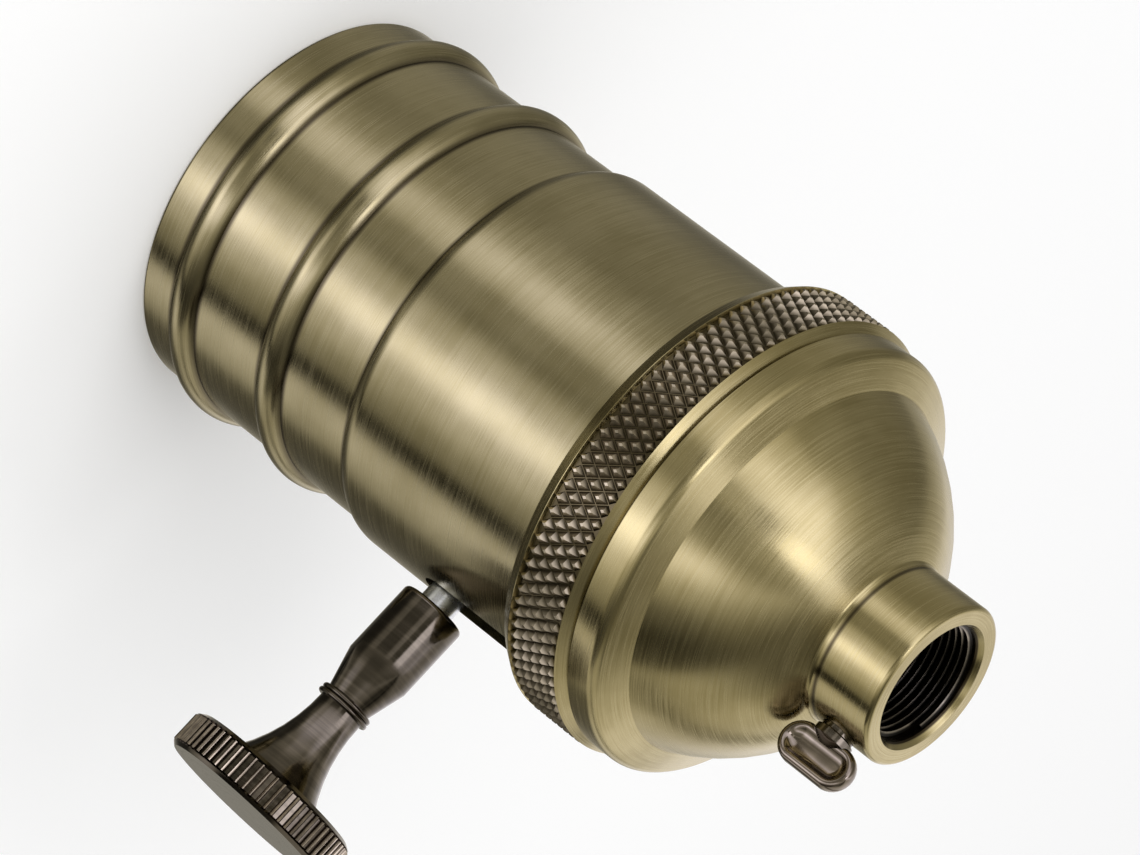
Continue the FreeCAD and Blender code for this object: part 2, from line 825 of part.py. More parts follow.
def make_rivets():
    """The contact's rivet, and the two that hold the screw shell."""
    keep(
        "centre_rivet",
        rivet(
            "0", "-centre_rivet_place", "cup_ceiling - strip_thickness",
            "cup_top + strip_thickness",
        ),
    )
    keep(
        "shell_rivets",
        group(*(rivet(x, y, "cup_ceiling - screw_shell_wall", top) for x, y, top in SHELL_RIVETS)),
    )


# ---- switch housing and fixed contacts ---------------------------------------------------------

BLADE = "(contact_plate_reach + blade_gap)"
BLADE_BACK = f"({BLADE} + strip_thickness)"
STRAP_OUT = "(housing_radius - 0.8)"
HEAD_SEAT = "housing_top - housing_screw_sink"


def make_housing():
    """Moulded switch housing: a round block with a cavity that is open towards the cup."""
    block_section = [
        ("0", "cup_top"),
        ("housing_radius", "cup_top"),
        ("housing_radius", "housing_top - housing_round", "housing_round", -1),
        ("housing_radius - housing_round", "housing_top"),
        ("0", "housing_top"),
    ]
    below = "cup_top - rivet_fit"
    cuts = [
        block("-cavity_near", "cavity_far", "-cavity_half_width", "cavity_half_width", below,
              "cavity_top"),
        spindle(BORE, "-shaft_inner_end - rivet_fit", "0"),
        spindle("bush_radius + rivet_fit", "0", "housing_radius + shell_wall"),
        block("-blade_width / 2 - blade_fit", "blade_width / 2 + blade_fit",
              f"{BLADE} - blade_fit", f"{BLADE_BACK} + blade_fit", "cavity_top - blade_fit",
              "housing_top + blade_fit"),
        block("-rivet_head_radius - blade_gap", "rivet_head_radius + blade_gap",
              "-blade_leg - blade_gap", "-cavity_half_width + blade_gap", below,
              "cup_top + strip_thickness + rivet_head_height + blade_gap"),
        block("-housing_radius - shell_wall", "-cavity_near + blade_gap",
              "shell_rivet_y - strap_width / 2 - blade_fit",
              "shell_rivet_y + strap_width / 2 + blade_fit", below,
              "cup_top + strap_thickness + blade_fit"),
        block("-housing_radius - shell_wall", f"-{STRAP_OUT} + strap_thickness + blade_fit",
              "shell_rivet_y - strap_width / 2 - blade_fit",
              "shell_rivet_y + strap_width / 2 + blade_fit", below, "housing_top + blade_fit"),
    ]
    for x, y, top in SHELL_RIVETS:
        cuts.append(
            rod("rivet_head_radius + blade_gap", below, f"{top} + rivet_head_height + blade_gap",
                x, y)
        )
    for x, y in TERMINALS:
        cuts.append(
            rod("terminal_screw_radius + rivet_fit",
                "housing_top - terminal_screw_depth - rivet_fit", "housing_top + rivet_fit", x, y)
        )
    for x, y in HOUSING_SCREWS:
        cuts.append(rod("housing_screw_radius + rivet_fit", below, "housing_top", x, y))
        cuts.append(
            rod("housing_screw_head + blade_fit", HEAD_SEAT, "housing_top + rivet_fit", x, y)
        )
    keep("switch_housing", cut(revolved("switch_housing", block_section), *cuts))


LIVE_SEAT = "(housing_top + strip_thickness)"
NEUTRAL_SEAT = "(housing_top + strap_thickness)"
TERMINALS = (("0", "terminal_y"), ("-terminal_x", "shell_rivet_y"))


def make_blades():
    """The two fixed contacts of the switch, one each side of the rotor."""
    line = folded(
        "line_blade",
        [
            (BLADE, "blade_bottom"),
            (BLADE_BACK, "blade_bottom"),
            (BLADE_BACK, "housing_top"),
            ("terminal_leg", "housing_top"),
            ("terminal_leg", LIVE_SEAT),
            (BLADE, LIVE_SEAT),
        ],
        "blade_width",
    )
    screw_way = rod(
        "terminal_screw_radius + rivet_fit", "housing_top - rivet_fit",
        f"{LIVE_SEAT} + rivet_fit", *TERMINALS[0],
    )
    keep("line_blade", cut(line, screw_way))
    load = folded(
        "load_blade",
        [
            (f"-{BLADE}", "cup_top"),
            (f"-{BLADE}", "blade_top"),
            (f"-{BLADE_BACK}", "blade_top"),
            (f"-{BLADE_BACK}", "cup_top + strip_thickness"),
            ("-blade_leg", "cup_top + strip_thickness"),
            ("-blade_leg", "cup_top"),
        ],
        "blade_width",
    )
    rivet_way = rod(
        "rivet_radius + rivet_fit", "cup_top - rivet_fit",
        "cup_top + strip_thickness + rivet_fit", "0", "-centre_rivet_place",
    )
    keep("load_blade", cut(load, rivet_way))


def make_neutral_strap():
    """Brass strap from a screw-shell rivet up the side of the housing to the neutral terminal."""
    inner = "shell_rivet_x - rivet_head_radius"
    body = folded(
        "neutral_strap",
        [
            (inner, "cup_top"),
            (STRAP_OUT, "cup_top"),
            (STRAP_OUT, NEUTRAL_SEAT),
            ("terminal_x - terminal_size / 2", NEUTRAL_SEAT),
            ("terminal_x - terminal_size / 2", "housing_top"),
            (f"{STRAP_OUT} - strap_thickness", "housing_top"),
            (f"{STRAP_OUT} - strap_thickness", "cup_top + strap_thickness"),
            (inner, "cup_top + strap_thickness"),
        ],
        "strap_width",
    )
    body.Placement.Rotation = FreeCAD.Rotation(Vector(0, 0, 1), 90)
    body.setExpression(".Placement.Base.y", bound("shell_rivet_y"))
    x, y, seat = SHELL_RIVETS[0]
    rivet_way = rod(
        "rivet_radius + rivet_fit", "cup_top - rivet_fit", f"{seat} + rivet_fit", x, y
    )
    screw_way = rod(
        "terminal_screw_radius + rivet_fit", "housing_top - rivet_fit",
        f"{NEUTRAL_SEAT} + rivet_fit", *TERMINALS[1],
    )
    keep("neutral_strap", cut(body, rivet_way, screw_way))


def terminal(x, y, seat, ear_x_from, ear_x_to, ear_y_from, ear_y_to):
    """A clamp plate with one turned-up edge and a clear hole for its screw."""
    half = "terminal_size / 2"
    plate = block(
        f"{x} - {half}", f"{x} + {half}", f"{y} - {half}", f"{y} + {half}",
        seat, f"{seat} + terminal_plate",
    )
    ear = block(
        ear_x_from, ear_x_to, ear_y_from, ear_y_to, seat,
        f"{seat} + terminal_plate + terminal_ear",
    )
    hole = rod(
        "terminal_screw_radius + rivet_fit", f"{seat} - rivet_fit",
        f"{seat} + terminal_plate + rivet_fit", x, y,
    )
    return cut(fuse(plate, ear), hole)


def make_terminals():
    """Live and neutral clamp plates, each with its turned-up edge on the outer side."""
    half = "terminal_size / 2"
    (live_x, live_y), (neutral_x, neutral_y) = TERMINALS
    keep(
        "live_terminal",
        terminal(
            live_x, live_y, LIVE_SEAT, f"{live_x} - {half}", f"{live_x} + {half}",
            f"{live_y} + {half} - strip_thickness", f"{live_y} + {half}",
        ),
    )
    keep(
        "neutral_terminal",
        terminal(
            neutral_x, neutral_y, NEUTRAL_SEAT, f"{neutral_x} - {half}",
            f"{neutral_x} - {half} + strip_thickness", f"{neutral_y} - {half}",
            f"{neutral_y} + {half}",
        ),
    )


def slotted_screw(x, y, tip, seat, radius, head_radius, head_height):
    """A cheese-head screw: shank up to its seat, then a head with a driver slot."""
    top = f"{seat} + {head_height}"
    slot = block(
        f"{x} - {head_radius}", f"{x} + {head_radius}", f"{y} - screwdriver_width / 2",
        f"{y} + screwdriver_width / 2", f"{top} - screwdriver_depth", f"{top} + rivet_fit",
    )
    return cut(fuse(rod(radius, tip, seat, x, y), rod(head_radius, seat, top, x, y)), slot)


def make_screws():
    """Terminal screws and the two screws that hold the housing on the cup."""
    seats = (f"{LIVE_SEAT} + terminal_plate", f"{NEUTRAL_SEAT} + terminal_plate")
    keep(
        "terminal_screws",
        group(*(
            slotted_screw(
                x, y, "housing_top - terminal_screw_depth", seat, "terminal_screw_radius",
                "terminal_screw_head", "terminal_screw_head_height",
            )
            for (x, y), seat in zip(TERMINALS, seats)
        )),
    )
    keep(
        "housing_screws",
        group(*(
            slotted_screw(
                x, y, "cup_top - housing_screw_bite", HEAD_SEAT, "housing_screw_radius",
                "housing_screw_head", "housing_screw_head_height",
            )
            for x, y in HOUSING_SCREWS
        )),
    )


def make_detent_spring():
    """Bowed leaf under the cavity's ceiling; the rotor's lobes click past its crest."""
    dip = "(cavity_top - spring_thickness - shaft_height - rotor_corner_radius - spring_gap)"
    bow = f"({dip}^2 + spring_half_span^2) / (2 * {dip})"
    body = folded(
        "detent_spring",
        [
            ("-spring_half_span", "cavity_top - spring_thickness", bow, -1),
            ("spring_half_span", "cavity_top - spring_thickness"),
            ("spring_half_span", "cavity_top", bow, 1),
            ("-spring_half_span", "cavity_top"),
        ],
        "spring_width", "spring_place + spring_width / 2",
    )
    keep("detent_spring", body)


def make_liner():
    """Fibre sleeve that stands on the core's flange and is held down by the cap."""
    height = ("cup_top", "cap_ceiling - liner_gap")
    sleeve = cut(rod("liner_outer", *height), rod("liner_inner", *height))
    slot_end = spindle("liner_slot / 2", "0", "liner_outer + shell_wall")
    slot = block(
        "0", "liner_outer + shell_wall", "-liner_slot / 2", "liner_slot / 2",
        "shaft_height", "cap_ceiling",
    )
    keep("insulating_liner", cut(sleeve, slot_end, slot))


make_shell()
make_cap()
make_neck_screw()
make_knob()
make_shaft()
make_clip()
make_bush()
make_rotor()
make_rotor_contact()
make_lamp_cup()
make_screw_shell()
make_centre_contact()
make_rivets()
make_housing()
make_blades()
make_neutral_strap()
make_terminals()
make_screws()
make_detent_spring()
make_liner()
doc.recompute()

for item in doc.Objects:
    if "Invalid" in item.State or "Error" in item.State:
        raise RuntimeError(f"{item.Label} could not be built: {item.State}")

os.makedirs("parts", exist_ok=True)
for node, piece in NODES.items():
    shape = piece.Shape
    if shape.isNull() or not shape.isValid():
        raise RuntimeError(f"{node} has no valid shape")
    shape.exportStep(f"parts/{node}.step")
    print(f"{node}: {len(shape.Solids)} solid(s), {shape.Volume:.1f} mm3")
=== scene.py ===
# %% [markdown]
# # A turn-knob lamp holder, dressed for a studio picture
#
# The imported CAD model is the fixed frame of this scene. It says where every piece is, and this
# file gives each visible piece its surface: smooth turned metal, a diamond knurl, a real screw
# thread. Lengths are metres, so the millimetres of the drawing are multiplied by `MM`.

# %% The frame
import json
import math

import bmesh
import bpy
from mathutils import Matrix, Vector


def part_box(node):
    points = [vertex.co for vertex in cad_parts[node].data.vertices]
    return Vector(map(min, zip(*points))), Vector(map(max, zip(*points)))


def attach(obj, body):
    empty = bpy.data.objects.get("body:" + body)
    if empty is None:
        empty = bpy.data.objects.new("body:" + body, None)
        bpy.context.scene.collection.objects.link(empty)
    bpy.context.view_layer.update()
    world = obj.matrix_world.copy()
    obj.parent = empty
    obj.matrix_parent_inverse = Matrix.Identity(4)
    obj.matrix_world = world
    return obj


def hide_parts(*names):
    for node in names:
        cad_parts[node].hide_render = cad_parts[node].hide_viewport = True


MM = 0.001
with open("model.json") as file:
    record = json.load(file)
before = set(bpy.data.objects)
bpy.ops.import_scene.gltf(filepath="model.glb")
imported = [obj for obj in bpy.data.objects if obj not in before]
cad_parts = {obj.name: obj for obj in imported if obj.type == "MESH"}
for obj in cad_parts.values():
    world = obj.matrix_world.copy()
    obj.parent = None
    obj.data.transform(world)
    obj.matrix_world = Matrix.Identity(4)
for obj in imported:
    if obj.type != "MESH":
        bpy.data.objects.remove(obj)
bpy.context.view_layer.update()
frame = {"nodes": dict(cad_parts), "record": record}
nodes = frame["nodes"]

# %% [markdown]
# ## The camera first
#
# The holder is seen from the neck's side through a long lens, with the camera rolled so that the
# neck points down to the right. The camera's place and its two directions fix its matrix.

# %% Camera
CAMERA_PLACE = Vector((83.75, -424.07, 276.81)) * MM
CAMERA_AHEAD = Vector((-0.16668, 0.85527, -0.49064)).normalized()
CAMERA_RIGHT = Vector((-0.67170, 0.26579, 0.69150)).normalized()
SENSOR_WIDTH = 36.0
FOCAL_LENGTH = 193.65

camera_data = bpy.data.cameras.new("studio_camera")
camera_data.sensor_width = SENSOR_WIDTH
camera_data.lens = FOCAL_LENGTH
camera_data.clip_start = 0.01
camera = bpy.data.objects.new("studio_camera", camera_data)
bpy.context.scene.collection.objects.link(camera)
camera_up = CAMERA_RIGHT.cross(CAMERA_AHEAD).normalized()
camera.matrix_world = Matrix.Translation(CAMERA_PLACE) @ Matrix(
    (CAMERA_RIGHT, camera_up, -CAMERA_AHEAD)
).transposed().to_4x4()
bpy.context.scene.camera = camera
print("camera to mouth rim:", round(CAMERA_PLACE.length, 3), "m")

# %% [markdown]
# ## Studio
#
# A polished or brushed metal shows what stands around it, so the studio is most of its look.
# The world is plain white to the camera and a soft grey to dull surfaces. To a mirror-like
# surface it is three rings of soft boxes, one above the other, with dark gaps between the boxes.
# Each ring is a ramp over the compass direction, and its stops were set until the bright
# and dark bands along the metal fell where they should. The rings fade into each other with
# height, and two marks are laid over them: level strips in one thin upright slice, which the
# knob shows, and a dark strip, which the dome shows.

# %% World
# The soft boxes round the holder, seen from the object at three heights: compass direction in
# degrees, and brightness.
LOW_STOPS = (
    (-180, 0.45), (-150, 0.42), (-133, 0.65), (-118, 1.50), (-102, 0.95), (-86, 0.42),
    (-70, 1.30), (-54, 2.90), (-38, 1.30), (-22, 0.58), (-14, 0.44), (-12, 0.01), (-1, 0.01),
    (1, 1.05), (11, 1.20), (26, 0.78), (38, 0.14), (62, 0.12), (84, 0.30), (96, 0.75),
    (106, 0.75), (118, 0.42), (128, 0.22), (138, 0.22), (150, 0.34), (163, 0.44), (180, 0.45),
)
MIDDLE_STOPS = (
    (-180, 0.32), (-161, 0.42), (-147, 0.50), (-132, 1.10), (-116, 1.85), (-101, 1.50),
    (-85, 0.32), (-69, 0.45), (-53, 1.90), (-37, 0.70), (-22, 0.20), (-7, 0.06), (9, 0.09),
    (15, 0.62), (21, 0.72), (35, 0.72), (48, 0.90), (61, 0.95), (72, 1.15), (86, 1.30), (104, 1.25),
    (119, 1.05), (126, 0.70), (134, 0.50), (142, 0.25), (158, 0.30), (180, 0.32),
)
UPPER_STOPS = (
    (-180, 0.55), (-160, 1.05), (-142, 2.30), (-122, 2.30), (-106, 1.70), (-89, 0.70),
    (-64, 0.45), (-47, 0.80), (-30, 0.50), (-12, 0.28), (3, 0.16), (28, 0.22), (45, 0.06),
    (60, 0.35), (78, 0.85), (100, 0.90), (112, 1.50), (121, 1.90), (126, 1.30), (131, 0.72),
    (150, 0.35), (162, 0.45), (180, 0.55),
)
# The level strips, from straight down (-1) to straight up (1), and their brightness.
STRIPS = (
    (-1.0, 0.3), (-0.60, 0.6), (-0.46, 0.65), (-0.34, 0.28), (0.22, 0.28), (0.38, 0.9),
    (0.50, 1.0), (0.58, 0.35), (0.76, 0.3), (0.83, 3.8), (0.94, 3.8), (0.97, 2.0), (1.0, 1.4),
)
# Where one part of the world gives way to the next, as parts of a direction of length one.
LOW_TO_MIDDLE, MIDDLE_TO_UPPER = (-0.42, -0.10), (0.45, 0.85)
SLICE_X, SLICE_EDGES, SLICE_FRONT = -0.115, (0.11, 0.07), (0.3, 0.1)
FOOT_FADE = (-0.85, -0.60, 0.25, 1.0)
# The dark strip: its compass direction and fade in radians, its height and fade, and its share.
ARC_COMPASS, ARC_ENDS = 0.80, (0.75, 0.40)
ARC_RISE, ARC_EDGES, ARC_SHARE = 0.12, (0.11, 0.05), 0.68
DULL_LEVEL = 0.55
WHITE = (1, 1, 1, 1)


class Nodes:
    """Short calls for a node tree: every node is added by type, set, and linked in one line."""

    def __init__(self, tree):
        self.tree = tree
        tree.nodes.clear()

    def add(self, kind, inputs=None, **settings):
        node = self.tree.nodes.new(kind)
        for name, value in settings.items():
            setattr(node, name, value)
        for key, value in (inputs or {}).items():
            socket = node.inputs[key]
            if isinstance(value, bpy.types.NodeSocket):
                self.tree.links.new(value, socket)
            else:
                socket.default_value = value
        return node

    def math(self, operation, *values):
        return self.add("ShaderNodeMath", dict(enumerate(values)), operation=operation).outputs[0]

    def span(self, value, low, high, to_low=0.0, to_high=1.0):
        """A value between two limits becomes a share between two others, and no further."""
        node = self.add(
            "ShaderNodeMapRange", interpolation_type="SMOOTHSTEP",
            inputs={"Value": value, "From Min": low, "From Max": high, "To Min": to_low,
                    "To Max": to_high},
        )
        return node.outputs["Result"]

    def mix(self, share, first, second):
        node = self.add("ShaderNodeMix", data_type="RGBA", inputs={0: share})
        for socket, value in ((node.inputs[6], first), (node.inputs[7], second)):
            if isinstance(value, bpy.types.NodeSocket):
                self.tree.links.new(value, socket)
            else:
                socket.default_value = (*value, 1.0)
        return node.outputs[2]

    def blend(self, share, first, second):
        """Between two numbers, as mix is between two colours."""
        return self.add(
            "ShaderNodeMix", {0: share, 2: first, 3: second}, data_type="FLOAT"
        ).outputs[0]


world = bpy.data.worlds.new("studio_world")
world.use_nodes = True
bpy.context.scene.world = world
sky = Nodes(world.node_tree)
direction = sky.add("ShaderNodeTexCoord").outputs["Generated"]
aim_x, aim_y, aim_z = sky.add("ShaderNodeSeparateXYZ", {0: direction}).outputs
compass = sky.math("ARCTAN2", aim_y, aim_x)
turn = sky.math("ADD", sky.math("DIVIDE", compass, 2 * math.pi), 0.5)


def ramp_level(stops, share, start, end):
    """Brightness along a scale from start to end, from a colour ramp driven by a share of it."""
    brightest = max(brightness for _, brightness in stops)
    ramp = sky.add("ShaderNodeValToRGB", {0: share})
    marks = ramp.color_ramp.elements
    while len(marks) < len(stops):
        marks.new(0.5)
    for mark, (where, brightness) in zip(marks, stops):
        mark.position = (where - start) / (end - start)
        mark.color = (*[brightness / brightest] * 3, 1.0)
    ramp.color_ramp.interpolation = "EASE"
    return sky.math("MULTIPLY", ramp.outputs[0], brightest)


def level_round(stops):
    return ramp_level(stops, turn, -180, 180)


lower_part = sky.blend(
    sky.span(aim_z, *LOW_TO_MIDDLE), level_round(LOW_STOPS), level_round(MIDDLE_STOPS)
)
glossy_level = sky.blend(
    sky.span(aim_z, *MIDDLE_TO_UPPER), lower_part, level_round(UPPER_STOPS)
)
# A level rod such as the knob's barrel shows one upright slice of the studio, where level strips
# give it lengthwise lines. The slice is a thin one, so the upright pieces hardly show it.
strips = ramp_level(STRIPS, sky.math("MULTIPLY_ADD", aim_z, 0.5, 0.5), -1.0, 1.0)
aside = sky.math("ABSOLUTE", sky.math("ADD", aim_x, -SLICE_X))
slice_share = sky.math(
    "MULTIPLY", sky.span(aside, *SLICE_EDGES), sky.span(aim_y, *SLICE_FRONT)
)
glossy_level = sky.blend(slice_share, glossy_level, strips)
below = sky.span(aim_z, *FOOT_FADE)
# The dome shows the dark strip as a thin arc.
beside = sky.span(
    sky.math("ABSOLUTE", sky.math("SUBTRACT", compass, ARC_COMPASS)), *ARC_ENDS
)
off_level = sky.math("ABSOLUTE", sky.math("SUBTRACT", aim_z, ARC_RISE))
arc = sky.math("MULTIPLY", beside, sky.span(off_level, *ARC_EDGES, 0.0, ARC_SHARE))
below = sky.math("MULTIPLY", below, sky.math("SUBTRACT", 1.0, arc))
glossy_level = sky.math("MULTIPLY", glossy_level, below)
glossy_tint = sky.mix(sky.span(glossy_level, 0.2, 2.0), (1.0, 0.94, 0.79), (1.0, 0.97, 1.10))
path = sky.add("ShaderNodeLightPath")
dull = sky.add("ShaderNodeBackground", {"Color": WHITE, "Strength": DULL_LEVEL})
shiny = sky.add("ShaderNodeBackground", {"Color": glossy_tint, "Strength": glossy_level})
seen = sky.add("ShaderNodeBackground", {"Color": WHITE, "Strength": 1.0})
shine_mix = sky.add(
    "ShaderNodeMixShader", {0: path.outputs["Is Glossy Ray"], 1: dull.outputs[0],
                            2: shiny.outputs[0]},
)
through = sky.math(
    "MAXIMUM", path.outputs["Is Camera Ray"], path.outputs["Is Transmission Ray"]
)
seen_mix = sky.add(
    "ShaderNodeMixShader", {0: through, 1: shine_mix.outputs[0], 2: seen.outputs[0]}
)
sky.add("ShaderNodeOutputWorld", {0: seen_mix.outputs[0]})
print("world: rings of", len(LOW_STOPS), len(MIDDLE_STOPS), len(UPPER_STOPS), "stops")


# %% Lamps and floor
def area_lamp(name, place, aim, size, watts):
    """A square soft box that points at the object and leaves mirror reflections to the world."""
    data = bpy.data.lights.new(name, "AREA")
    data.size = size
    data.energy = watts
    lamp = bpy.data.objects.new(name, data)
    lamp.location = place
    lamp.rotation_euler = (Vector(aim) - Vector(place)).to_track_quat("-Z", "Y").to_euler()
    lamp.visible_glossy = False
    bpy.context.scene.collection.objects.link(lamp)
    return lamp


AIM = (0, 0, 0.035)
area_lamp("key_lamp", (-0.25, -0.45, 0.60), AIM, 0.5, 1.9)
area_lamp("fill_lamp", (0.55, 0.10, 0.45), AIM, 0.6, 0.9)
area_lamp("top_lamp", (0, 0.05, 0.80), AIM, 0.6, 1.3)

# The floor's half width, its own faint light, and where it fades to white, in metres.
FLOOR_HALF, FLOOR_LIFT, FLOOR_FADE = 3.0, 0.12, (0.20, 0.55)
floor_mesh = bpy.data.meshes.new("floor")
floor_mesh.from_pydata(
    [(x * FLOOR_HALF, y * FLOOR_HALF, 0) for x, y in ((-1, -1), (1, -1), (1, 1), (-1, 1))],
    [], [(0, 1, 2, 3)],
)
floor = bpy.data.objects.new("floor", floor_mesh)
bpy.context.scene.collection.objects.link(floor)
floor.visible_glossy = False
floor_material = bpy.data.materials.new("pale_floor")
floor_material.use_nodes = True
pale = Nodes(floor_material.node_tree)
paint = pale.add("ShaderNodeBsdfDiffuse", {"Color": (0.88, 0.88, 0.88, 1)})
lift = pale.add("ShaderNodeEmission", {"Color": WHITE, "Strength": FLOOR_LIFT})
pale_path = pale.add("ShaderNodeLightPath")
both = pale.add("ShaderNodeAddShader", {0: paint.outputs[0], 1: lift.outputs[0]})
white = pale.add("ShaderNodeEmission", {"Color": WHITE, "Strength": 1.0})
floor_place = pale.add("ShaderNodeTexCoord").outputs["Object"]
floor_far = pale.add("ShaderNodeVectorMath", {0: floor_place}, operation="LENGTH").outputs[1]
fading = pale.add(
    "ShaderNodeMixShader",
    {0: pale.span(floor_far, *FLOOR_FADE), 1: both.outputs[0], 2: white.outputs[0]},
)
floor_mix = pale.add(
    "ShaderNodeMixShader",
    {0: pale_path.outputs["Is Camera Ray"], 1: paint.outputs[0], 2: fading.outputs[0]},
)
# From below the floor is clear, so that the mouth can be looked into.
clear = pale.add("ShaderNodeBsdfTransparent")
one_sided = pale.add(
    "ShaderNodeMixShader",
    {0: pale.add("ShaderNodeNewGeometry").outputs["Backfacing"], 1: floor_mix.outputs[0],
     2: clear.outputs[0]},
)
pale.add("ShaderNodeOutputMaterial", {0: one_sided.outputs[0]})
floor_mesh.materials.append(floor_material)
bpy.context.scene.view_settings.view_transform = "Standard"
print("lamps: 3, floor half width:", FLOOR_HALF)

# %% [markdown]
# ## Brushed brass
#
# The tube and cap were spun against an abrasive, which leaves fine rings round the axis, and the
# brass was then darkened and rubbed back. The rings are noise stretched along the turning
# direction: it changes slowly with the object's own coordinates and fast with the distance along
# the profile, which the UV map holds in millimetres. The same noise moves the colour, the
# roughness and a very fine bump, so that the rings show in every light.


# %% Brushed metal material
def new_surface(name):
    """A new material with an empty tree, and the object's own coordinates in it."""
    material = bpy.data.materials.new(name)
    material.use_nodes = True
    tree = Nodes(material.node_tree)
    return material, tree, tree.add("ShaderNodeTexCoord").outputs["Object"]


def brushed_metal(name, pale_tone, mid_tone, shade_tone, roughness, rings=8.0, bump=0.12,
                  painted_shade_lines=(), anisotropy=0.75, bore_shade_radius=0.0):
    """Turned and brushed metal. Each shade line is (height, half width, half width of the darkest
    part) in mm: a band of painted shade at a crease or groove. All that is nearer to the axis than
    the bore radius is painted dark, as shade inside the bore."""
    material, tree, place = new_surface(name)
    profile = tree.add("ShaderNodeSeparateXYZ", {0: tree.add("ShaderNodeUVMap").outputs[0]})
    along = profile.outputs[1]
    slow = tree.add("ShaderNodeVectorMath", {0: place, "Scale": 120.0}, operation="SCALE")
    fast = tree.add("ShaderNodeCombineXYZ", {2: tree.math("MULTIPLY", along, rings)})
    streak_place = tree.add(
        "ShaderNodeVectorMath", {0: slow.outputs[0], 1: fast.outputs[0]}, operation="ADD"
    )
    streaks = tree.add(
        "ShaderNodeTexNoise",
        {"Vector": streak_place.outputs[0], "Scale": 1.0, "Detail": 5.0, "Roughness": 0.7},
    ).outputs[0]
    clouds = tree.add(
        "ShaderNodeTexNoise", {"Vector": place, "Scale": 120.0, "Detail": 3.0, "Roughness": 0.55}
    ).outputs[0]
    tone = tree.add("ShaderNodeMath", {0: streaks, 1: 0.72, 2: -0.36}, operation="MULTIPLY_ADD")
    tone = tree.add(
        "ShaderNodeMath", {0: clouds, 1: 0.5, 2: tone.outputs[0]}, operation="MULTIPLY_ADD"
    )
    share = tree.span(tone.outputs[0], 0.08, 0.42)
    colour = tree.mix(share, mid_tone, pale_tone)
    rise = tree.add("ShaderNodeSeparateXYZ", {0: place}).outputs[2]
    # Painted shade: a dark band at each listed height, at a crease or groove.
    for height, half_width, core in painted_shade_lines:
        distance = tree.math("ABSOLUTE", tree.math("SUBTRACT", rise, height * MM))
        colour = tree.mix(
            tree.span(distance, half_width * MM, core * MM, 0.0, 0.9), colour, shade_tone
        )
    # Painted shade: everything nearer to the axis than the bore radius is darkened.
    if bore_shade_radius:
        flat = tree.add(
            "ShaderNodeVectorMath", {0: place, 1: (1.0, 1.0, 0.0)}, operation="MULTIPLY"
        ).outputs[0]
        far = tree.add("ShaderNodeVectorMath", {0: flat}, operation="LENGTH").outputs[1]
        colour = tree.mix(tree.span(far, bore_shade_radius * MM, (bore_shade_radius + 0.1) * MM), shade_tone, colour)
    rough = tree.span(streaks, 0.3, 0.7, roughness - 0.05, roughness + 0.07)
    raised = tree.add(
        "ShaderNodeBump", {"Height": streaks, "Strength": bump, "Distance": 0.03 * MM}
    )
    tangent = tree.add("ShaderNodeTangent", direction_type="UV_MAP")
    metal = tree.add(
        "ShaderNodeBsdfPrincipled",
        {"Base Color": colour, "Metallic": 1.0, "Roughness": rough, "Anisotropic": anisotropy,
         "Anisotropic Rotation": 0.25, "Normal": raised.outputs[0], "Tangent": tangent.outputs[0]},
    )
    tree.add("ShaderNodeOutputMaterial", {0: metal.outputs[0]})
    return material


# The dark lines are painted shade beside the two beads and at the step.
shell_brass = brushed_metal(
    "antique_brass_shell", (0.40, 0.355, 0.215), (0.27, 0.235, 0.125), (0.05, 0.04, 0.025), 0.22,
    painted_shade_lines=(
        (3.5, 0.45, 0.0), (6.5, 0.45, 0.0), (14.05, 0.45, 0.0), (17.05, 0.45, 0.0),
        (24.45, 0.4, 0.0),
    ),
)
# The dark lines are painted shade: on the floor of the knurled band, in the groove above it and on
# the neck just above its foot; the bore is painted dark as shade.
cap_brass = brushed_metal(
    "antique_brass_cap", (0.46, 0.40, 0.215), (0.32, 0.27, 0.125), (0.045, 0.035, 0.02), 0.22,
    painted_shade_lines=(
        (49.4, 2.52, 2.42), (52.85, 0.22, 0.0), (67.45, 0.35, 0.0),
    ), bore_shade_radius=5.5,
)
print("materials:", shell_brass.name, cap_brass.name)


# %% Plain finishes
# How deep the faint grain looks, in mm.
GRAIN_DEPTH = 0.02


def plain_finish(name, tone, second_tone, roughness, metallic=0.0, grain=400.0, bump=0.05,
                 coat=0.0):
    """A moulded, plated or fired surface: two close tones in clouds, and a faint grain."""
    material, tree, place = new_surface(name)
    clouds = tree.add(
        "ShaderNodeTexNoise", {"Vector": place, "Scale": grain, "Detail": 4.0, "Roughness": 0.6}
    ).outputs[0]
    fine = tree.add(
        "ShaderNodeTexNoise", {"Vector": place, "Scale": grain * 8, "Detail": 2.0}
    ).outputs[0]
    share = tree.span(clouds, 0.35, 0.65)
    raised = tree.add(
        "ShaderNodeBump", {"Height": fine, "Strength": bump, "Distance": GRAIN_DEPTH * MM}
    )
    surface = tree.add(
        "ShaderNodeBsdfPrincipled",
        {"Base Color": tree.mix(share, tone, second_tone), "Metallic": metallic,
         "Roughness": tree.span(clouds, 0.3, 0.7, roughness - 0.04, roughness + 0.06),
         "Coat Weight": coat, "Normal": raised.outputs[0]},
    )
    tree.add("ShaderNodeOutputMaterial", {0: surface.outputs[0]})
    return material


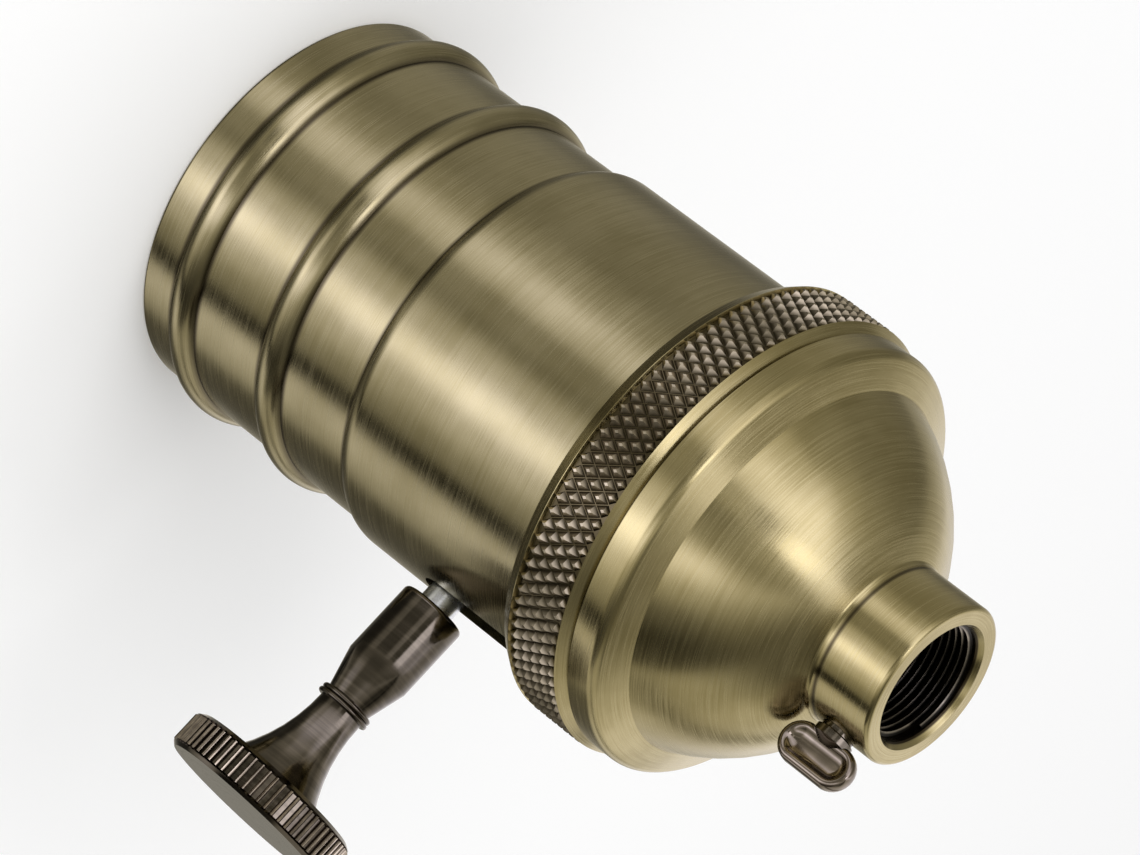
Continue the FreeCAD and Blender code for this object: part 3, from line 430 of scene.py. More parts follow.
FINISHES = {
    "porcelain": plain_finish(
        "glazed_porcelain", (0.80, 0.79, 0.74), (0.74, 0.73, 0.68), 0.16, grain=150.0, coat=0.4
    ),
    "black_bakelite": plain_finish(
        "black_bakelite", (0.018, 0.016, 0.015), (0.030, 0.026, 0.023), 0.30, bump=0.15
    ),
    "brown_bakelite": plain_finish(
        "brown_bakelite", (0.10, 0.038, 0.018), (0.14, 0.055, 0.025), 0.32, bump=0.15
    ),
    "vulcanised_fibre": plain_finish(
        "vulcanised_fibre", (0.020, 0.019, 0.018), (0.034, 0.032, 0.030), 0.62, grain=900.0,
        bump=0.4,
    ),
    "contact_brass": plain_finish(
        "stamped_contact_brass", (0.62, 0.47, 0.22), (0.54, 0.40, 0.18), 0.26, metallic=1.0,
        bump=0.1,
    ),
    "nickel_plated_brass": plain_finish(
        "satin_nickel", (0.60, 0.57, 0.52), (0.52, 0.49, 0.44), 0.24, metallic=1.0, bump=0.1
    ),
    "zinc_plated_steel": plain_finish(
        "bright_zinc", (0.66, 0.68, 0.69), (0.54, 0.57, 0.58), 0.24, metallic=1.0, grain=700.0,
        bump=0.2,
    ),
    "spring_steel": plain_finish(
        "blued_spring_steel", (0.16, 0.17, 0.20), (0.22, 0.22, 0.24), 0.28, metallic=1.0
    ),
    "bronze": plain_finish(
        "sintered_bronze", (0.42, 0.27, 0.13), (0.34, 0.21, 0.10), 0.45, metallic=1.0, bump=0.4
    ),
    "dark_plating": brushed_metal(
        "dark_plating", (0.145, 0.126, 0.098), (0.082, 0.072, 0.056), (0.03, 0.026, 0.02), 0.10,
        rings=2.0, bump=0.02, anisotropy=0.0,
    ),
    "antique_brass": shell_brass,
    "antique_brass_cap": cap_brass,
}
slot_of = {row["node"]: row["material_slot"] for row in frame["record"]["subparts"]}
for name, node in nodes.items():
    node.data.materials.clear()
    node.data.materials.append(FINISHES[slot_of[name]])
print("finishes:", len(FINISHES), "on", len(nodes), "nodes")

# %% [markdown]
# ## Turned pieces
#
# A turned piece is one outline carried round an axis. The outline is written as corners, with a
# radius where an arc runs on to the next corner, exactly as on a drawing. `arc_points` divides
# the arcs finely, and `turn_outline` carries the outline round and keeps two things for the
# materials: the distance along the outline in millimetres as the UV map's height, and sharp edges
# where the outline bends hard.


# %% Outline and turning helpers
def arc_points(start, end, radius, side, step=math.radians(6)):
    """Points from start up to, and without, end along an arc; side is +1 for a left bulge."""
    start, end = Vector(start), Vector(end)
    chord = end - start
    half = chord.length / 2
    left = Vector((-chord.y, chord.x)).normalized()
    centre = (start + end) / 2 - left * side * math.sqrt(max(radius * radius - half * half, 0))
    sweep = 2 * math.asin(min(half / radius, 1.0))
    count = max(2, math.ceil(sweep / step))
    points = []
    for index in range(count):
        turned = Matrix.Rotation(-side * sweep * index / count, 2) @ (start - centre)
        points.append(centre + turned)
    return points


def outline_points(corners, spacing=None):
    """The outline's corners with its arcs, and its long runs where asked, divided."""
    points = []
    for index, corner in enumerate(corners):
        following = corners[(index + 1) % len(corners)]
        start, end = Vector(corner[:2]), Vector(following[:2])
        if len(corner) > 2:
            points += arc_points(start, end, corner[2], corner[3])
            continue
        runs = 1 if spacing is None else max(1, round((end - start).length / spacing))
        points += [start.lerp(end, run / runs) for run in range(runs)]
    return points


def new_piece(name, mesh, body, material):
    """Link a finished mesh as a piece that rides on a body."""
    piece = bpy.data.objects.new(name, mesh)
    bpy.context.scene.collection.objects.link(piece)
    mesh.materials.clear()
    mesh.materials.append(material)
    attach(piece, body)
    return piece


def finished_mesh(name, made):
    mesh = bpy.data.meshes.new(name)
    made.to_mesh(mesh)
    made.free()
    return mesh


def turn_outline(name, points, segments, upright=True, height=0.0, shift=None):
    """Carry a closed outline of (radius, height) points in mm round Z, or round the line at the
    given height along X. Points on the axis become one pole each."""
    made = bmesh.new()
    uv_layer = made.loops.layers.uv.new("profile")
    lengths = [0.0]
    for index in range(len(points)):
        step = (points[(index + 1) % len(points)] - points[index]).length
        lengths.append(lengths[-1] + step)
    rows = []
    for radius, rise in points:
        row = []
        for turn_index in range(segments if radius > 1e-6 else 1):
            angle = 2 * math.pi * turn_index / segments
            reach, lift_by = shift(radius, rise, angle) if shift else (radius, rise)
            across, sideways = reach * math.cos(angle), reach * math.sin(angle)
            where = (across, sideways, lift_by) if upright else (lift_by, sideways, height - across)
            row.append(made.verts.new(Vector(where) * MM))
        rows.append(row)
    for index, row in enumerate(rows):
        following = rows[(index + 1) % len(rows)]
        if len(row) == 1 and len(following) == 1:
            continue
        for turn_index in range(segments):
            beside = (turn_index + 1) % segments
            ring_points = [
                (row[turn_index % len(row)], turn_index, lengths[index]),
                (row[beside % len(row)], turn_index + 1, lengths[index]),
                (following[beside % len(following)], turn_index + 1, lengths[index + 1]),
                (following[turn_index % len(following)], turn_index, lengths[index + 1]),
            ]
            corners = []
            for corner in ring_points:
                if corner[0] not in [kept[0] for kept in corners]:
                    corners.append(corner)
            face = made.faces.new([corner[0] for corner in corners])
            for loop, corner in zip(face.loops, corners):
                loop[uv_layer].uv = (corner[1] / segments, corner[2])
            face.smooth = True
    bmesh.ops.recalc_face_normals(made, faces=made.faces)
    sharp = math.radians(28)
    for edge in made.edges:
        edge.smooth = edge.calc_face_angle(0.0) < sharp
    return finished_mesh(name, made)


def cut_out(mesh, cutter):
    """The mesh with a cutter's volume taken out of it."""
    base = bpy.data.objects.new("base", mesh)
    tool = bpy.data.objects.new("tool", cutter)
    for item in (base, tool):
        bpy.context.scene.collection.objects.link(item)
    modifier = base.modifiers.new("cut", "BOOLEAN")
    modifier.operation = "DIFFERENCE"
    modifier.solver = "EXACT"
    modifier.object = tool
    bpy.context.view_layer.update()
    result = bpy.data.meshes.new_from_object(
        base.evaluated_get(bpy.context.evaluated_depsgraph_get())
    )
    for item in (base, tool):
        bpy.data.objects.remove(item)
    return result


def stadium(name, half_width, from_x, to_x, low, high, round_top=False, sides=24):
    """A prism along X whose end is round below, and above too where asked."""
    outline = []
    for index in range(sides + 1):
        angle = math.pi + math.pi * index / sides
        outline.append((half_width * math.cos(angle), low + half_width * math.sin(angle)))
    for index in range(sides + 1) if round_top else ():
        angle = math.pi * index / sides
        outline.append((half_width * math.cos(angle), high + half_width * math.sin(angle)))
    if not round_top:
        outline += [(half_width, high), (-half_width, high)]
    made = bmesh.new()
    ends = [
        [made.verts.new(Vector((x, y, z)) * MM) for y, z in outline] for x in (from_x, to_x)
    ]
    made.faces.new(ends[0])
    made.faces.new(ends[1])
    for index in range(len(outline)):
        beside = (index + 1) % len(outline)
        made.faces.new((ends[0][index], ends[0][beside], ends[1][beside], ends[1][index]))
    bmesh.ops.remove_doubles(made, verts=made.verts, dist=1e-7)
    bmesh.ops.recalc_face_normals(made, faces=made.faces)
    return finished_mesh(name, made)


# %% [markdown]
# ## Shell
#
# The shell is sheet brass, drawn into a tube and rolled. The two beads stand out of both faces,
# and a step above them carries the core. The slot for the switch shaft is open at the top so that
# the core can be lifted out, and it is cut from the turned mesh with a Boolean.

# %% Shell
SHELL_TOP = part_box("shell")[1].z / MM
TUBE, BODY, WALL = 17.6, 18.3, 0.8
STEP = 24.5
shell_corners = [
    (TUBE - WALL, 0.0), (TUBE - 0.35, 0.0, 0.35, -1), (TUBE, 0.35),
    (TUBE, 3.6, 1.506, -1), (TUBE, 6.4), (TUBE, 14.15, 1.506, -1), (TUBE, 16.95),
    (TUBE, STEP), (TUBE + 0.15, STEP, 2.057, -1), (BODY, STEP + 1.4), (BODY, SHELL_TOP - 0.1),
    (BODY - 0.1, SHELL_TOP), (BODY - WALL + 0.1, SHELL_TOP), (BODY - WALL, SHELL_TOP - 0.1),
    (BODY - WALL, STEP + WALL), (TUBE - WALL, STEP + WALL),
    (TUBE - WALL, 16.55, 1.001, 1), (TUBE - WALL, 14.55),
    (TUBE - WALL, 6.0, 1.001, 1), (TUBE - WALL, 4.0),
]
shell_mesh = turn_outline("shell_metal", outline_points(shell_corners, 3.0), 256)
shaft_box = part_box("knob_shaft")
SHAFT = (shaft_box[0].z + shaft_box[1].z) / 2 / MM
shell_mesh = cut_out(shell_mesh, stadium("slot", 2.2, 10, 22, SHAFT, SHELL_TOP + 2))
shell_piece = new_piece("shell_metal", shell_mesh, "holder", shell_brass)
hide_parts("shell")
print("shell faces:", len(shell_mesh.polygons))

# %% [markdown]
# ## Cap
#
# The cap is one turned piece from the skirt to the neck. The knurled band is sunk to the bottom of
# its grooves here, because the pyramids between the grooves are made next and stand on it.

# %% Cap
DOME, DOME_MIDDLE, NECK, FILLET = 18.4, 50.0, 7.4, 0.45
KNURL_LOW, KNURL_HIGH, KNURL_TIP, KNURL_DEPTH = 46.8, 52.0, 20.5, 0.42
KNURL_AROUND, KNURL_ROWS, GROOVE_SLOPE = 104, 5, 0.12
reach = DOME + FILLET
neck_foot = DOME_MIDDLE + math.sqrt(reach**2 - (NECK + FILLET) ** 2)
NECK_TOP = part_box("cap")[1].z / MM
INNER = DOME - 1.5
turn_over = math.radians(65)
CREASE = 56.9
THREAD_ROOT, THREAD_CREST = 5.42, 5.08
cap_corners = [
    (BODY + 0.1, 45.6), (19.7, 45.6), (KNURL_TIP - 0.05, KNURL_LOW - 0.05),
    (KNURL_TIP - 0.05, KNURL_LOW), (KNURL_TIP - KNURL_DEPTH, KNURL_LOW + GROOVE_SLOPE),
    (KNURL_TIP - KNURL_DEPTH, KNURL_HIGH - GROOVE_SLOPE), (KNURL_TIP - 0.05, KNURL_HIGH),
    (19.5, 52.75), (19.5, 52.9), (19.9, 53.0), (19.9, 55.0, 1.0, -1),
    (18.9 + math.cos(turn_over), 55.0 + math.sin(turn_over)),
    (math.sqrt(DOME**2 - (CREASE - DOME_MIDDLE) ** 2), CREASE, DOME, -1),
    ((NECK + FILLET) * DOME / reach, DOME_MIDDLE + (neck_foot - DOME_MIDDLE) * DOME / reach,
     FILLET, 1),
    (NECK, neck_foot), (NECK, NECK_TOP - 0.45, 0.45, -1), (NECK - 0.45, NECK_TOP),
    (5.85, NECK_TOP), (THREAD_ROOT, NECK_TOP - 0.55),
    (THREAD_ROOT, DOME_MIDDLE + math.sqrt(INNER**2 - THREAD_ROOT**2), INNER, 1),
    (math.sqrt(INNER**2 - 4.2**2), 54.2), (BODY + 0.1, 54.2),
]
cap_mesh = turn_outline("cap_metal", outline_points(cap_corners, 2.5), 256)
screw_low, screw_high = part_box("neck_screw")
SCREW = (screw_low.z + screw_high.z) / 2 / MM
cap_mesh = cut_out(cap_mesh, stadium("screw_way", 1.56, 3, 9, SCREW, SCREW, True))
cap_piece = new_piece("cap_metal", cap_mesh, "holder", cap_brass)
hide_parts("cap")
print("cap faces:", len(cap_mesh.polygons))


# %% [markdown]
# ## Diamond knurl
#
# A knurling tool presses two crossed sets of grooves into the skirt and leaves rows of small
# four-sided pyramids. Nothing else on the holder repeats as often, so a Geometry Nodes tree makes
# them: it places one point for each pyramid from its number alone, turns every second row by half
# a pitch, and puts a blunt four-sided cone on each point. The tree ends in Realize Instances and
# Set Material, and the result is turned into a plain mesh.


# %% A builder for Geometry Nodes trees
class Tree(Nodes):
    """A Geometry Nodes tree with named number inputs, built one call at a time."""

    def __init__(self, name, **sizes):
        super().__init__(bpy.data.node_groups.new(name, "GeometryNodeTree"))
        sockets = self.tree.interface
        sockets.new_socket("Geometry", in_out="OUTPUT", socket_type="NodeSocketGeometry")
        for label, size in sizes.items():
            kind = "NodeSocketInt" if isinstance(size, int) else "NodeSocketFloat"
            sockets.new_socket(label, in_out="INPUT", socket_type=kind)
        self.sizes = sizes
        source = self.tree.nodes.new("NodeGroupInput")
        self.inputs = {label: source.outputs[label] for label in sizes}

    def finish(self, geometry, material, smooth_under):
        """Realise, shade, set the material, run the tree and return the mesh it makes."""
        real = self.add("GeometryNodeRealizeInstances", {0: geometry}).outputs[0]
        shown = self.add("GeometryNodeSetMaterial", {0: real, "Material": material})
        end = self.tree.nodes.new("NodeGroupOutput")
        self.tree.links.new(shown.outputs[0], end.inputs[0])
        holder = bpy.data.objects.new(self.tree.name, bpy.data.meshes.new("empty"))
        bpy.context.scene.collection.objects.link(holder)
        modifier = holder.modifiers.new("tree", "NODES")
        modifier.node_group = self.tree
        for item in self.tree.interface.items_tree:
            if item.in_out == "INPUT" and item.name in self.sizes:
                modifier[item.identifier] = self.sizes[item.name]
        bpy.context.view_layer.update()
        mesh = bpy.data.meshes.new_from_object(
            holder.evaluated_get(bpy.context.evaluated_depsgraph_get())
        )
        bpy.data.objects.remove(holder)
        mesh.set_sharp_from_angle(angle=math.radians(smooth_under))
        return mesh


# %% Knurl
# A pyramid's blunt top and its width are shares of its foot and of its pitch, and the outer rows
# are cut a little inside the band's edges, in mm.
BLUNT_TOP, PYRAMID_FILL, BAND_INSET = 0.24, 0.93, 0.08


def knurl_mesh(material):
    tree = Tree(
        "diamond_knurl", around=KNURL_AROUND, rows=KNURL_ROWS,
        radius=(KNURL_TIP - KNURL_DEPTH) * MM, low=(KNURL_LOW + GROOVE_SLOPE) * MM,
        high=(KNURL_HIGH - GROOVE_SLOPE) * MM, rise=KNURL_DEPTH * MM,
    )
    given = tree.inputs
    total = tree.math("MULTIPLY", given["around"], given["rows"])
    points = tree.add("GeometryNodePoints", {0: total}).outputs[0]
    number = tree.add("GeometryNodeInputIndex").outputs[0]
    row = tree.math("FLOOR", tree.math("DIVIDE", number, given["around"]))
    half_step = tree.math("MULTIPLY", tree.math("MODULO", row, 2.0), 0.5)
    steps = tree.math("ADD", tree.math("MODULO", number, given["around"]), half_step)
    angle = tree.math("MULTIPLY", tree.math("DIVIDE", steps, given["around"]), 2 * math.pi)
    row_pitch = tree.math(
        "DIVIDE", tree.math("SUBTRACT", given["high"], given["low"]), given["rows"]
    )
    height = tree.math(
        "ADD", given["low"], tree.math("MULTIPLY", tree.math("ADD", row, 0.5), row_pitch)
    )
    place = tree.add(
        "ShaderNodeCombineXYZ",
        {0: tree.math("MULTIPLY", tree.math("COSINE", angle), given["radius"]),
         1: tree.math("MULTIPLY", tree.math("SINE", angle), given["radius"]), 2: height},
    ).outputs[0]
    placed = tree.add("GeometryNodeSetPosition", {"Geometry": points, "Position": place})
    outward = tree.add(
        "ShaderNodeCombineXYZ", {0: tree.math("COSINE", angle), 1: tree.math("SINE", angle)}
    ).outputs[0]
    facing = tree.add(
        "FunctionNodeAxesToRotation", {0: outward, 1: (0.0, 0.0, 1.0)}, primary_axis="Z",
        secondary_axis="Y",
    ).outputs[0]
    cone = tree.add(
        "GeometryNodeMeshCone",
        {"Vertices": 4, "Side Segments": 2, "Radius Top": BLUNT_TOP,
         "Radius Bottom": 1.0, "Depth": 1.0},
    ).outputs["Mesh"]
    half_width = tree.math(
        "DIVIDE", tree.math("MULTIPLY", given["radius"], math.pi * PYRAMID_FILL), given["around"]
    )
    size = tree.add(
        "ShaderNodeCombineXYZ",
        {0: half_width, 1: tree.math("MULTIPLY", row_pitch, PYRAMID_FILL), 2: given["rise"]},
    ).outputs[0]
    pyramids = tree.add(
        "GeometryNodeInstanceOnPoints",
        {"Points": placed.outputs[0], "Instance": cone, "Rotation": facing, "Scale": size},
    ).outputs[0]
    mesh = tree.finish(pyramids, material, 20.0)
    lowest, highest = (KNURL_LOW + BAND_INSET) * MM, (KNURL_HIGH - BAND_INSET) * MM
    for corner in mesh.vertices:
        corner.co.z = min(max(corner.co.z, lowest), highest)
    return mesh


def wear_and_light_metal(name, dark_at, pale_at, shade_tone, pale_tone, roughness, axis_height=None):
    """Dark in the grooves as painted shade, and pale on the tips, partly rubbed wear and partly a
    painted highlight: the distance in mm from the axis, which is Z or the line along X at the
    given height, says which."""
    material, tree, place = new_surface(name)
    upright = axis_height is None
    centred = tree.add(
        "ShaderNodeVectorMath", {0: place, 1: (0.0, 0.0, (axis_height or 0.0) * MM)},
        operation="SUBTRACT",
    ).outputs[0]
    across = (1.0, 1.0, 0.0) if upright else (0.0, 1.0, 1.0)
    flat = tree.add("ShaderNodeVectorMath", {0: centred, 1: across}, operation="MULTIPLY")
    far = tree.add("ShaderNodeVectorMath", {0: flat.outputs[0]}, operation="LENGTH").outputs[1]
    spots = tree.add(
        "ShaderNodeTexNoise", {"Vector": place, "Scale": 900.0, "Detail": 3.0}
    ).outputs[0]
    # Towards the tips: partly rubbed wear, partly a painted highlight; towards the roots: painted
    # shade.
    wear_and_light_share = tree.span(far, dark_at * MM, pale_at * MM)
    share = tree.math("MULTIPLY", wear_and_light_share, tree.span(spots, 0.3, 0.7, 0.55, 1.0))
    metal = tree.add(
        "ShaderNodeBsdfPrincipled",
        {"Base Color": tree.mix(share, shade_tone, pale_tone), "Metallic": 1.0,
         "Roughness": roughness},
    )
    tree.add("ShaderNodeOutputMaterial", {0: metal.outputs[0]})
    return material


# The dark grooves are painted shade; the pale tips are partly rubbed wear, partly a painted
# highlight.
knurl_finish = wear_and_light_metal(
    "knurl_wear_and_light", KNURL_TIP - KNURL_DEPTH + 0.02, KNURL_TIP - 0.06, (0.10, 0.085, 0.055),
    (0.50, 0.44, 0.33), 0.34
)
knurl_piece = new_piece(
    "skirt_knurl", knurl_mesh(knurl_finish), "holder", knurl_finish
)
print("knurl faces:", len(knurl_piece.data.polygons))

# %% [markdown]
# ## Threads
#
# The neck has a fine thread for the lamp tube. A thread is a small triangle carried along a
# helix, and Geometry Nodes do just that: a Spiral curve, and Curve to Mesh with a triangle as the
# profile.


# %% Neck thread
NECK_PITCH = 0.68


def helix_mesh(name, material, root, crest, low, high, pitch, samples=64):
    turns = (high - low) / pitch
    tree = Tree(
        name, samples=samples, turns=turns, root=root * MM, rise=(root - crest) * MM,
        height=(high - low) * MM, lift=low * MM, pitch=pitch * MM,
    )
    given = tree.inputs
    spiral = tree.add(
        "GeometryNodeCurveSpiral",
        {"Resolution": given["samples"], "Rotations": given["turns"],
         "Start Radius": given["root"], "End Radius": given["root"], "Height": given["height"]},
    ).outputs[0]
    level = tree.add("GeometryNodeSetCurveNormal", {0: spiral}, mode="Z_UP").outputs[0]
    lift = tree.add("ShaderNodeCombineXYZ", {2: given["lift"]}).outputs[0]
    raised = tree.add("GeometryNodeTransform", {0: level, "Translation": lift}).outputs[0]
    ridge = tree.add(
        "GeometryNodeCurvePrimitiveCircle", {"Resolution": 3, "Radius": given["rise"]}
    ).outputs[0]
    swept = tree.add(
        "GeometryNodeCurveToMesh",
        {"Curve": raised, "Profile Curve": ridge, "Fill Caps": True},
    ).outputs[0]
    return tree.finish(swept, material, 30.0)


# The near-black roots are painted shade inside the bore; the pale crests are a painted highlight.
thread_finish = wear_and_light_metal(
    "thread_crests", THREAD_ROOT - 0.12, THREAD_CREST + 0.02, (0.012, 0.011, 0.010),
    (0.42, 0.38, 0.32), 0.25
)
thread_low = DOME_MIDDLE + math.sqrt(INNER**2 - THREAD_ROOT**2) + 0.3
thread_mesh = helix_mesh(
    "neck_thread", thread_finish, THREAD_ROOT, THREAD_CREST + 0.02, thread_low, NECK_TOP - 0.9,
    NECK_PITCH
)
new_piece("neck_thread", thread_mesh, "holder", thread_finish)
reaches = [corner.co.xy.length / MM for corner in thread_mesh.vertices]
print("neck thread faces:", len(thread_mesh.polygons), "radius", min(reaches), max(reaches))

# %% [markdown]
# ## Screw shell
#
# The lamp's screw shell is thin sheet with a rounded thread rolled into it, so both of its faces
# follow the same wave. It is turned like the other pieces, but each point is moved in or out by a
# cosine of its height less its share of a turn, and a wave that leans with the turn is a helix.

# %% Screw shell
SHELL_THREAD, SHEET = 13.35, 0.4
THREAD_PITCH, THREAD_DEPTH, THREAD_FADE = 3.62, 0.95, 1.5  # the fade is at both ends
EYE, SHOULDER = 6.5, 0.5
cup_low, cup_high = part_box("screw_shell")
CUP_CEILING = cup_high.z / MM
SLEEVE_LOW = cup_low.z / MM
NARROW = CUP_CEILING - 3.2


def rolled_thread(radius, rise, angle):
    """Push a point of the sleeve inwards by the wave, fading out at both ends."""
    fade_in = min(max((rise - SLEEVE_LOW - 0.6) / THREAD_FADE, 0.0), 1.0)
    fade_out = min(max((NARROW - 0.2 - rise) / THREAD_FADE, 0.0), 1.0)
    wave = 0.5 - 0.5 * math.cos(2 * math.pi * (rise / THREAD_PITCH - angle / (2 * math.pi)))
    return radius - THREAD_DEPTH * wave * fade_in * fade_out, rise


sleeve_corners = [
    (SHELL_THREAD, SLEEVE_LOW), (SHELL_THREAD + SHEET, SLEEVE_LOW),
    (SHELL_THREAD + SHEET, NARROW), (SHELL_THREAD + SHEET - SHOULDER, NARROW + SHOULDER),
    (SHELL_THREAD + SHEET - SHOULDER, CUP_CEILING), (EYE, CUP_CEILING), (EYE, CUP_CEILING - SHEET),
    (SHELL_THREAD - SHOULDER, CUP_CEILING - SHEET), (SHELL_THREAD - SHOULDER, NARROW + SHOULDER),
    (SHELL_THREAD, NARROW),
]
sleeve_mesh = turn_outline(
    "screw_sleeve", outline_points(sleeve_corners, 0.3), 128, shift=rolled_thread
)
NOTCH_WIDTH, NOTCH_REACH, NOTCH_HEIGHT = 8, 12.4, 2
notch = bmesh.new()
bmesh.ops.create_cube(notch, size=1.0)
for corner in notch.verts:
    corner.co = Vector((
        corner.co.x * NOTCH_WIDTH, (corner.co.y - 0.5) * NOTCH_REACH,
        corner.co.z * NOTCH_HEIGHT + CUP_CEILING,
    )) * MM
sleeve_mesh = cut_out(sleeve_mesh, finished_mesh("notch", notch))
sleeve_piece = new_piece(
    "screw_sleeve", sleeve_mesh, "holder", FINISHES["nickel_plated_brass"]
)
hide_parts("screw_shell")
print("screw sleeve faces:", len(sleeve_mesh.polygons))

# %% [markdown]
# ## Lamp cup
#
# Fired porcelain has no sharp edges: the cup is turned again with its lip and corners rounded.

# %% Lamp cup
cup_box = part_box("lamp_cup")
CUP_LOW, CUP_HIGH = cup_box[0].z / MM, cup_box[1].z / MM
CUP, CUP_BORE, FLANGE = 16.5, 14.1, 17.3
LEDGE = STEP + WALL + 0.1
cup_corners = [
    (CUP_BORE + 0.9, CUP_LOW), (CUP - 0.9, CUP_LOW, 0.9, -1), (CUP, CUP_LOW + 0.9),
    (CUP, LEDGE - 0.3), (CUP + 0.2, LEDGE), (FLANGE - 0.3, LEDGE, 0.3, -1), (FLANGE, LEDGE + 0.3),
    (FLANGE, CUP_HIGH - 0.3, 0.3, -1), (FLANGE - 0.3, CUP_HIGH), (0.0, CUP_HIGH),
    (0.0, CUP_CEILING), (CUP_BORE - 0.4, CUP_CEILING), (CUP_BORE, CUP_CEILING - 0.4),
    (CUP_BORE, CUP_LOW + 0.9, 0.9, -1),
]
cup_mesh = turn_outline("porcelain_cup", outline_points(cup_corners, 3.0), 128)
cup_piece = new_piece("porcelain_cup", cup_mesh, "holder", FINISHES["porcelain"])
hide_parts("lamp_cup")
print("cup faces:", len(cup_mesh.polygons))

# %% [markdown]
# ## Knob
#
# The knob is one turned piece of plated brass along the shaft. Its fine ribs repeat round the
# disc, so they are made by a Geometry Nodes tree too: it places one point for each rib from its
# number alone, and a slim bar stands on each point.

# %% Knob
knob_low, knob_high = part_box("knob")
KNOB_START, KNOB_END = knob_low.x / MM, knob_high.x / MM
DISC = 8.25
DISC_START = KNOB_END - 3.4
RIB_RISE, RIB_LENGTH, RIB_COUNT = 0.34, 2.5, 66
BARREL, WAIST, HUB_BORE, RECESS = 2.95, 2.05, 1.65, 2.2
TAPER_END = KNOB_START + 10.2
ring_width, ring_rise = 0.45, 0.2025
ring_arc = (ring_rise**2 + (ring_width / 2) ** 2) / (2 * ring_rise)
collar = 2.5 - ring_rise
knob_corners = [
    (HUB_BORE, KNOB_START + 0.8), (RECESS, KNOB_START + 0.8), (RECESS, KNOB_START),
    (BARREL - 0.4, KNOB_START, 0.4, -1), (BARREL, KNOB_START + 0.4), (BARREL, KNOB_START + 6.8),
    (WAIST, TAPER_END), (collar, TAPER_END + 0.02, ring_arc, -1),
    (collar, TAPER_END + ring_width, ring_arc, -1), (collar, TAPER_END + 2 * ring_width),
    (WAIST, TAPER_END + 2 * ring_width + 0.02, 14.0, 1), (4.2, DISC_START),
    (DISC - 0.55, DISC_START), (DISC - 0.12, DISC_START + 0.3),
    (DISC - RIB_RISE, DISC_START + 0.5), (DISC - RIB_RISE, KNOB_END - 0.5),
    (DISC - 0.12, KNOB_END - 0.3), (DISC - 0.45, KNOB_END), (0.0, KNOB_END),
    (0.0, KNOB_START + 6.6), (HUB_BORE, KNOB_START + 6.6),
]
dark_metal = FINISHES["dark_plating"]
knob_mesh = turn_outline(
    "turned_knob", outline_points(knob_corners, 1.5), 96, upright=False, height=SHAFT
)
knob_piece = new_piece("turned_knob", knob_mesh, "spindle", dark_metal)
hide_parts("knob")


def rib_mesh(material):
    tree = Tree(
        "knob_ribs", count=RIB_COUNT, radius=(DISC - RIB_RISE) * MM,
        middle=(KNOB_END - 1.7) * MM, length=RIB_LENGTH * MM, rise=2 * RIB_RISE * MM,
        axis=SHAFT * MM,
    )
    given = tree.inputs
    points = tree.add("GeometryNodePoints", {0: given["count"]}).outputs[0]
    number = tree.add("GeometryNodeInputIndex").outputs[0]
    angle = tree.math("MULTIPLY", tree.math("DIVIDE", number, given["count"]), 2 * math.pi)
    sideways, upwards = tree.math("SINE", angle), tree.math("COSINE", angle)
    place = tree.add(
        "ShaderNodeCombineXYZ",
        {0: given["middle"], 1: tree.math("MULTIPLY", sideways, given["radius"]),
         2: tree.math("ADD", tree.math("MULTIPLY", upwards, given["radius"]), given["axis"])},
    ).outputs[0]
    placed = tree.add("GeometryNodeSetPosition", {"Geometry": points, "Position": place})
    outward = tree.add("ShaderNodeCombineXYZ", {1: sideways, 2: upwards}).outputs[0]
    facing = tree.add(
        "FunctionNodeAxesToRotation", {0: (1.0, 0.0, 0.0), 1: outward}, primary_axis="Z",
        secondary_axis="Y",
    ).outputs[0]
    bar = tree.add(
        "GeometryNodeMeshCylinder", {"Vertices": 8, "Radius": 0.5, "Depth": 1.0}
    ).outputs["Mesh"]
    width = tree.math(
        "DIVIDE", tree.math("MULTIPLY", given["radius"], math.pi), given["count"]
    )
    size = tree.add(
        "ShaderNodeCombineXYZ", {0: width, 1: given["rise"], 2: given["length"]}
    ).outputs[0]
    bars = tree.add(
        "GeometryNodeInstanceOnPoints",
        {"Points": placed.outputs[0], "Instance": bar, "Rotation": facing, "Scale": size},
    ).outputs[0]
    return tree.finish(bars, material, 50.0)


# The dark rib roots are painted shade; the pale tips are partly rubbed wear, partly a painted
# highlight.
rib_finish = wear_and_light_metal(
    "rib_wear_and_light", DISC - RIB_RISE - 0.05, DISC - 0.02, (0.035, 0.030, 0.023), (0.36, 0.31, 0.24),
    0.22, SHAFT
)
rib_piece = new_piece("knob_ribs", rib_mesh(rib_finish), "spindle", rib_finish)
print("knob faces:", len(knob_mesh.polygons), "and ribs:", len(rib_piece.data.polygons))

# %% Shaft
shaft_low, shaft_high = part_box("knob_shaft")
clip_low, clip_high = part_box("shaft_clip")
START, END = shaft_low.x / MM, shaft_high.x / MM
GROOVE = (clip_low.x / MM - 0.05, clip_high.x / MM + 0.05)
shaft_corners = [
    (0.0, START), (1.5, START), (1.6, START + 0.1), (1.6, GROOVE[0]), (1.2, GROOVE[0]),
    (1.2, GROOVE[1]), (1.6, GROOVE[1]), (1.6, END - 0.4), (1.2, END), (0.0, END),
]
shaft_mesh = turn_outline(
    "switch_shaft", outline_points(shaft_corners, 2.0), 48, upright=False, height=SHAFT
)
zinc = FINISHES["zinc_plated_steel"]
shaft_piece = new_piece("switch_shaft", shaft_mesh, "spindle", zinc)
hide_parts("knob_shaft")
print("shaft faces:", len(shaft_mesh.polygons))

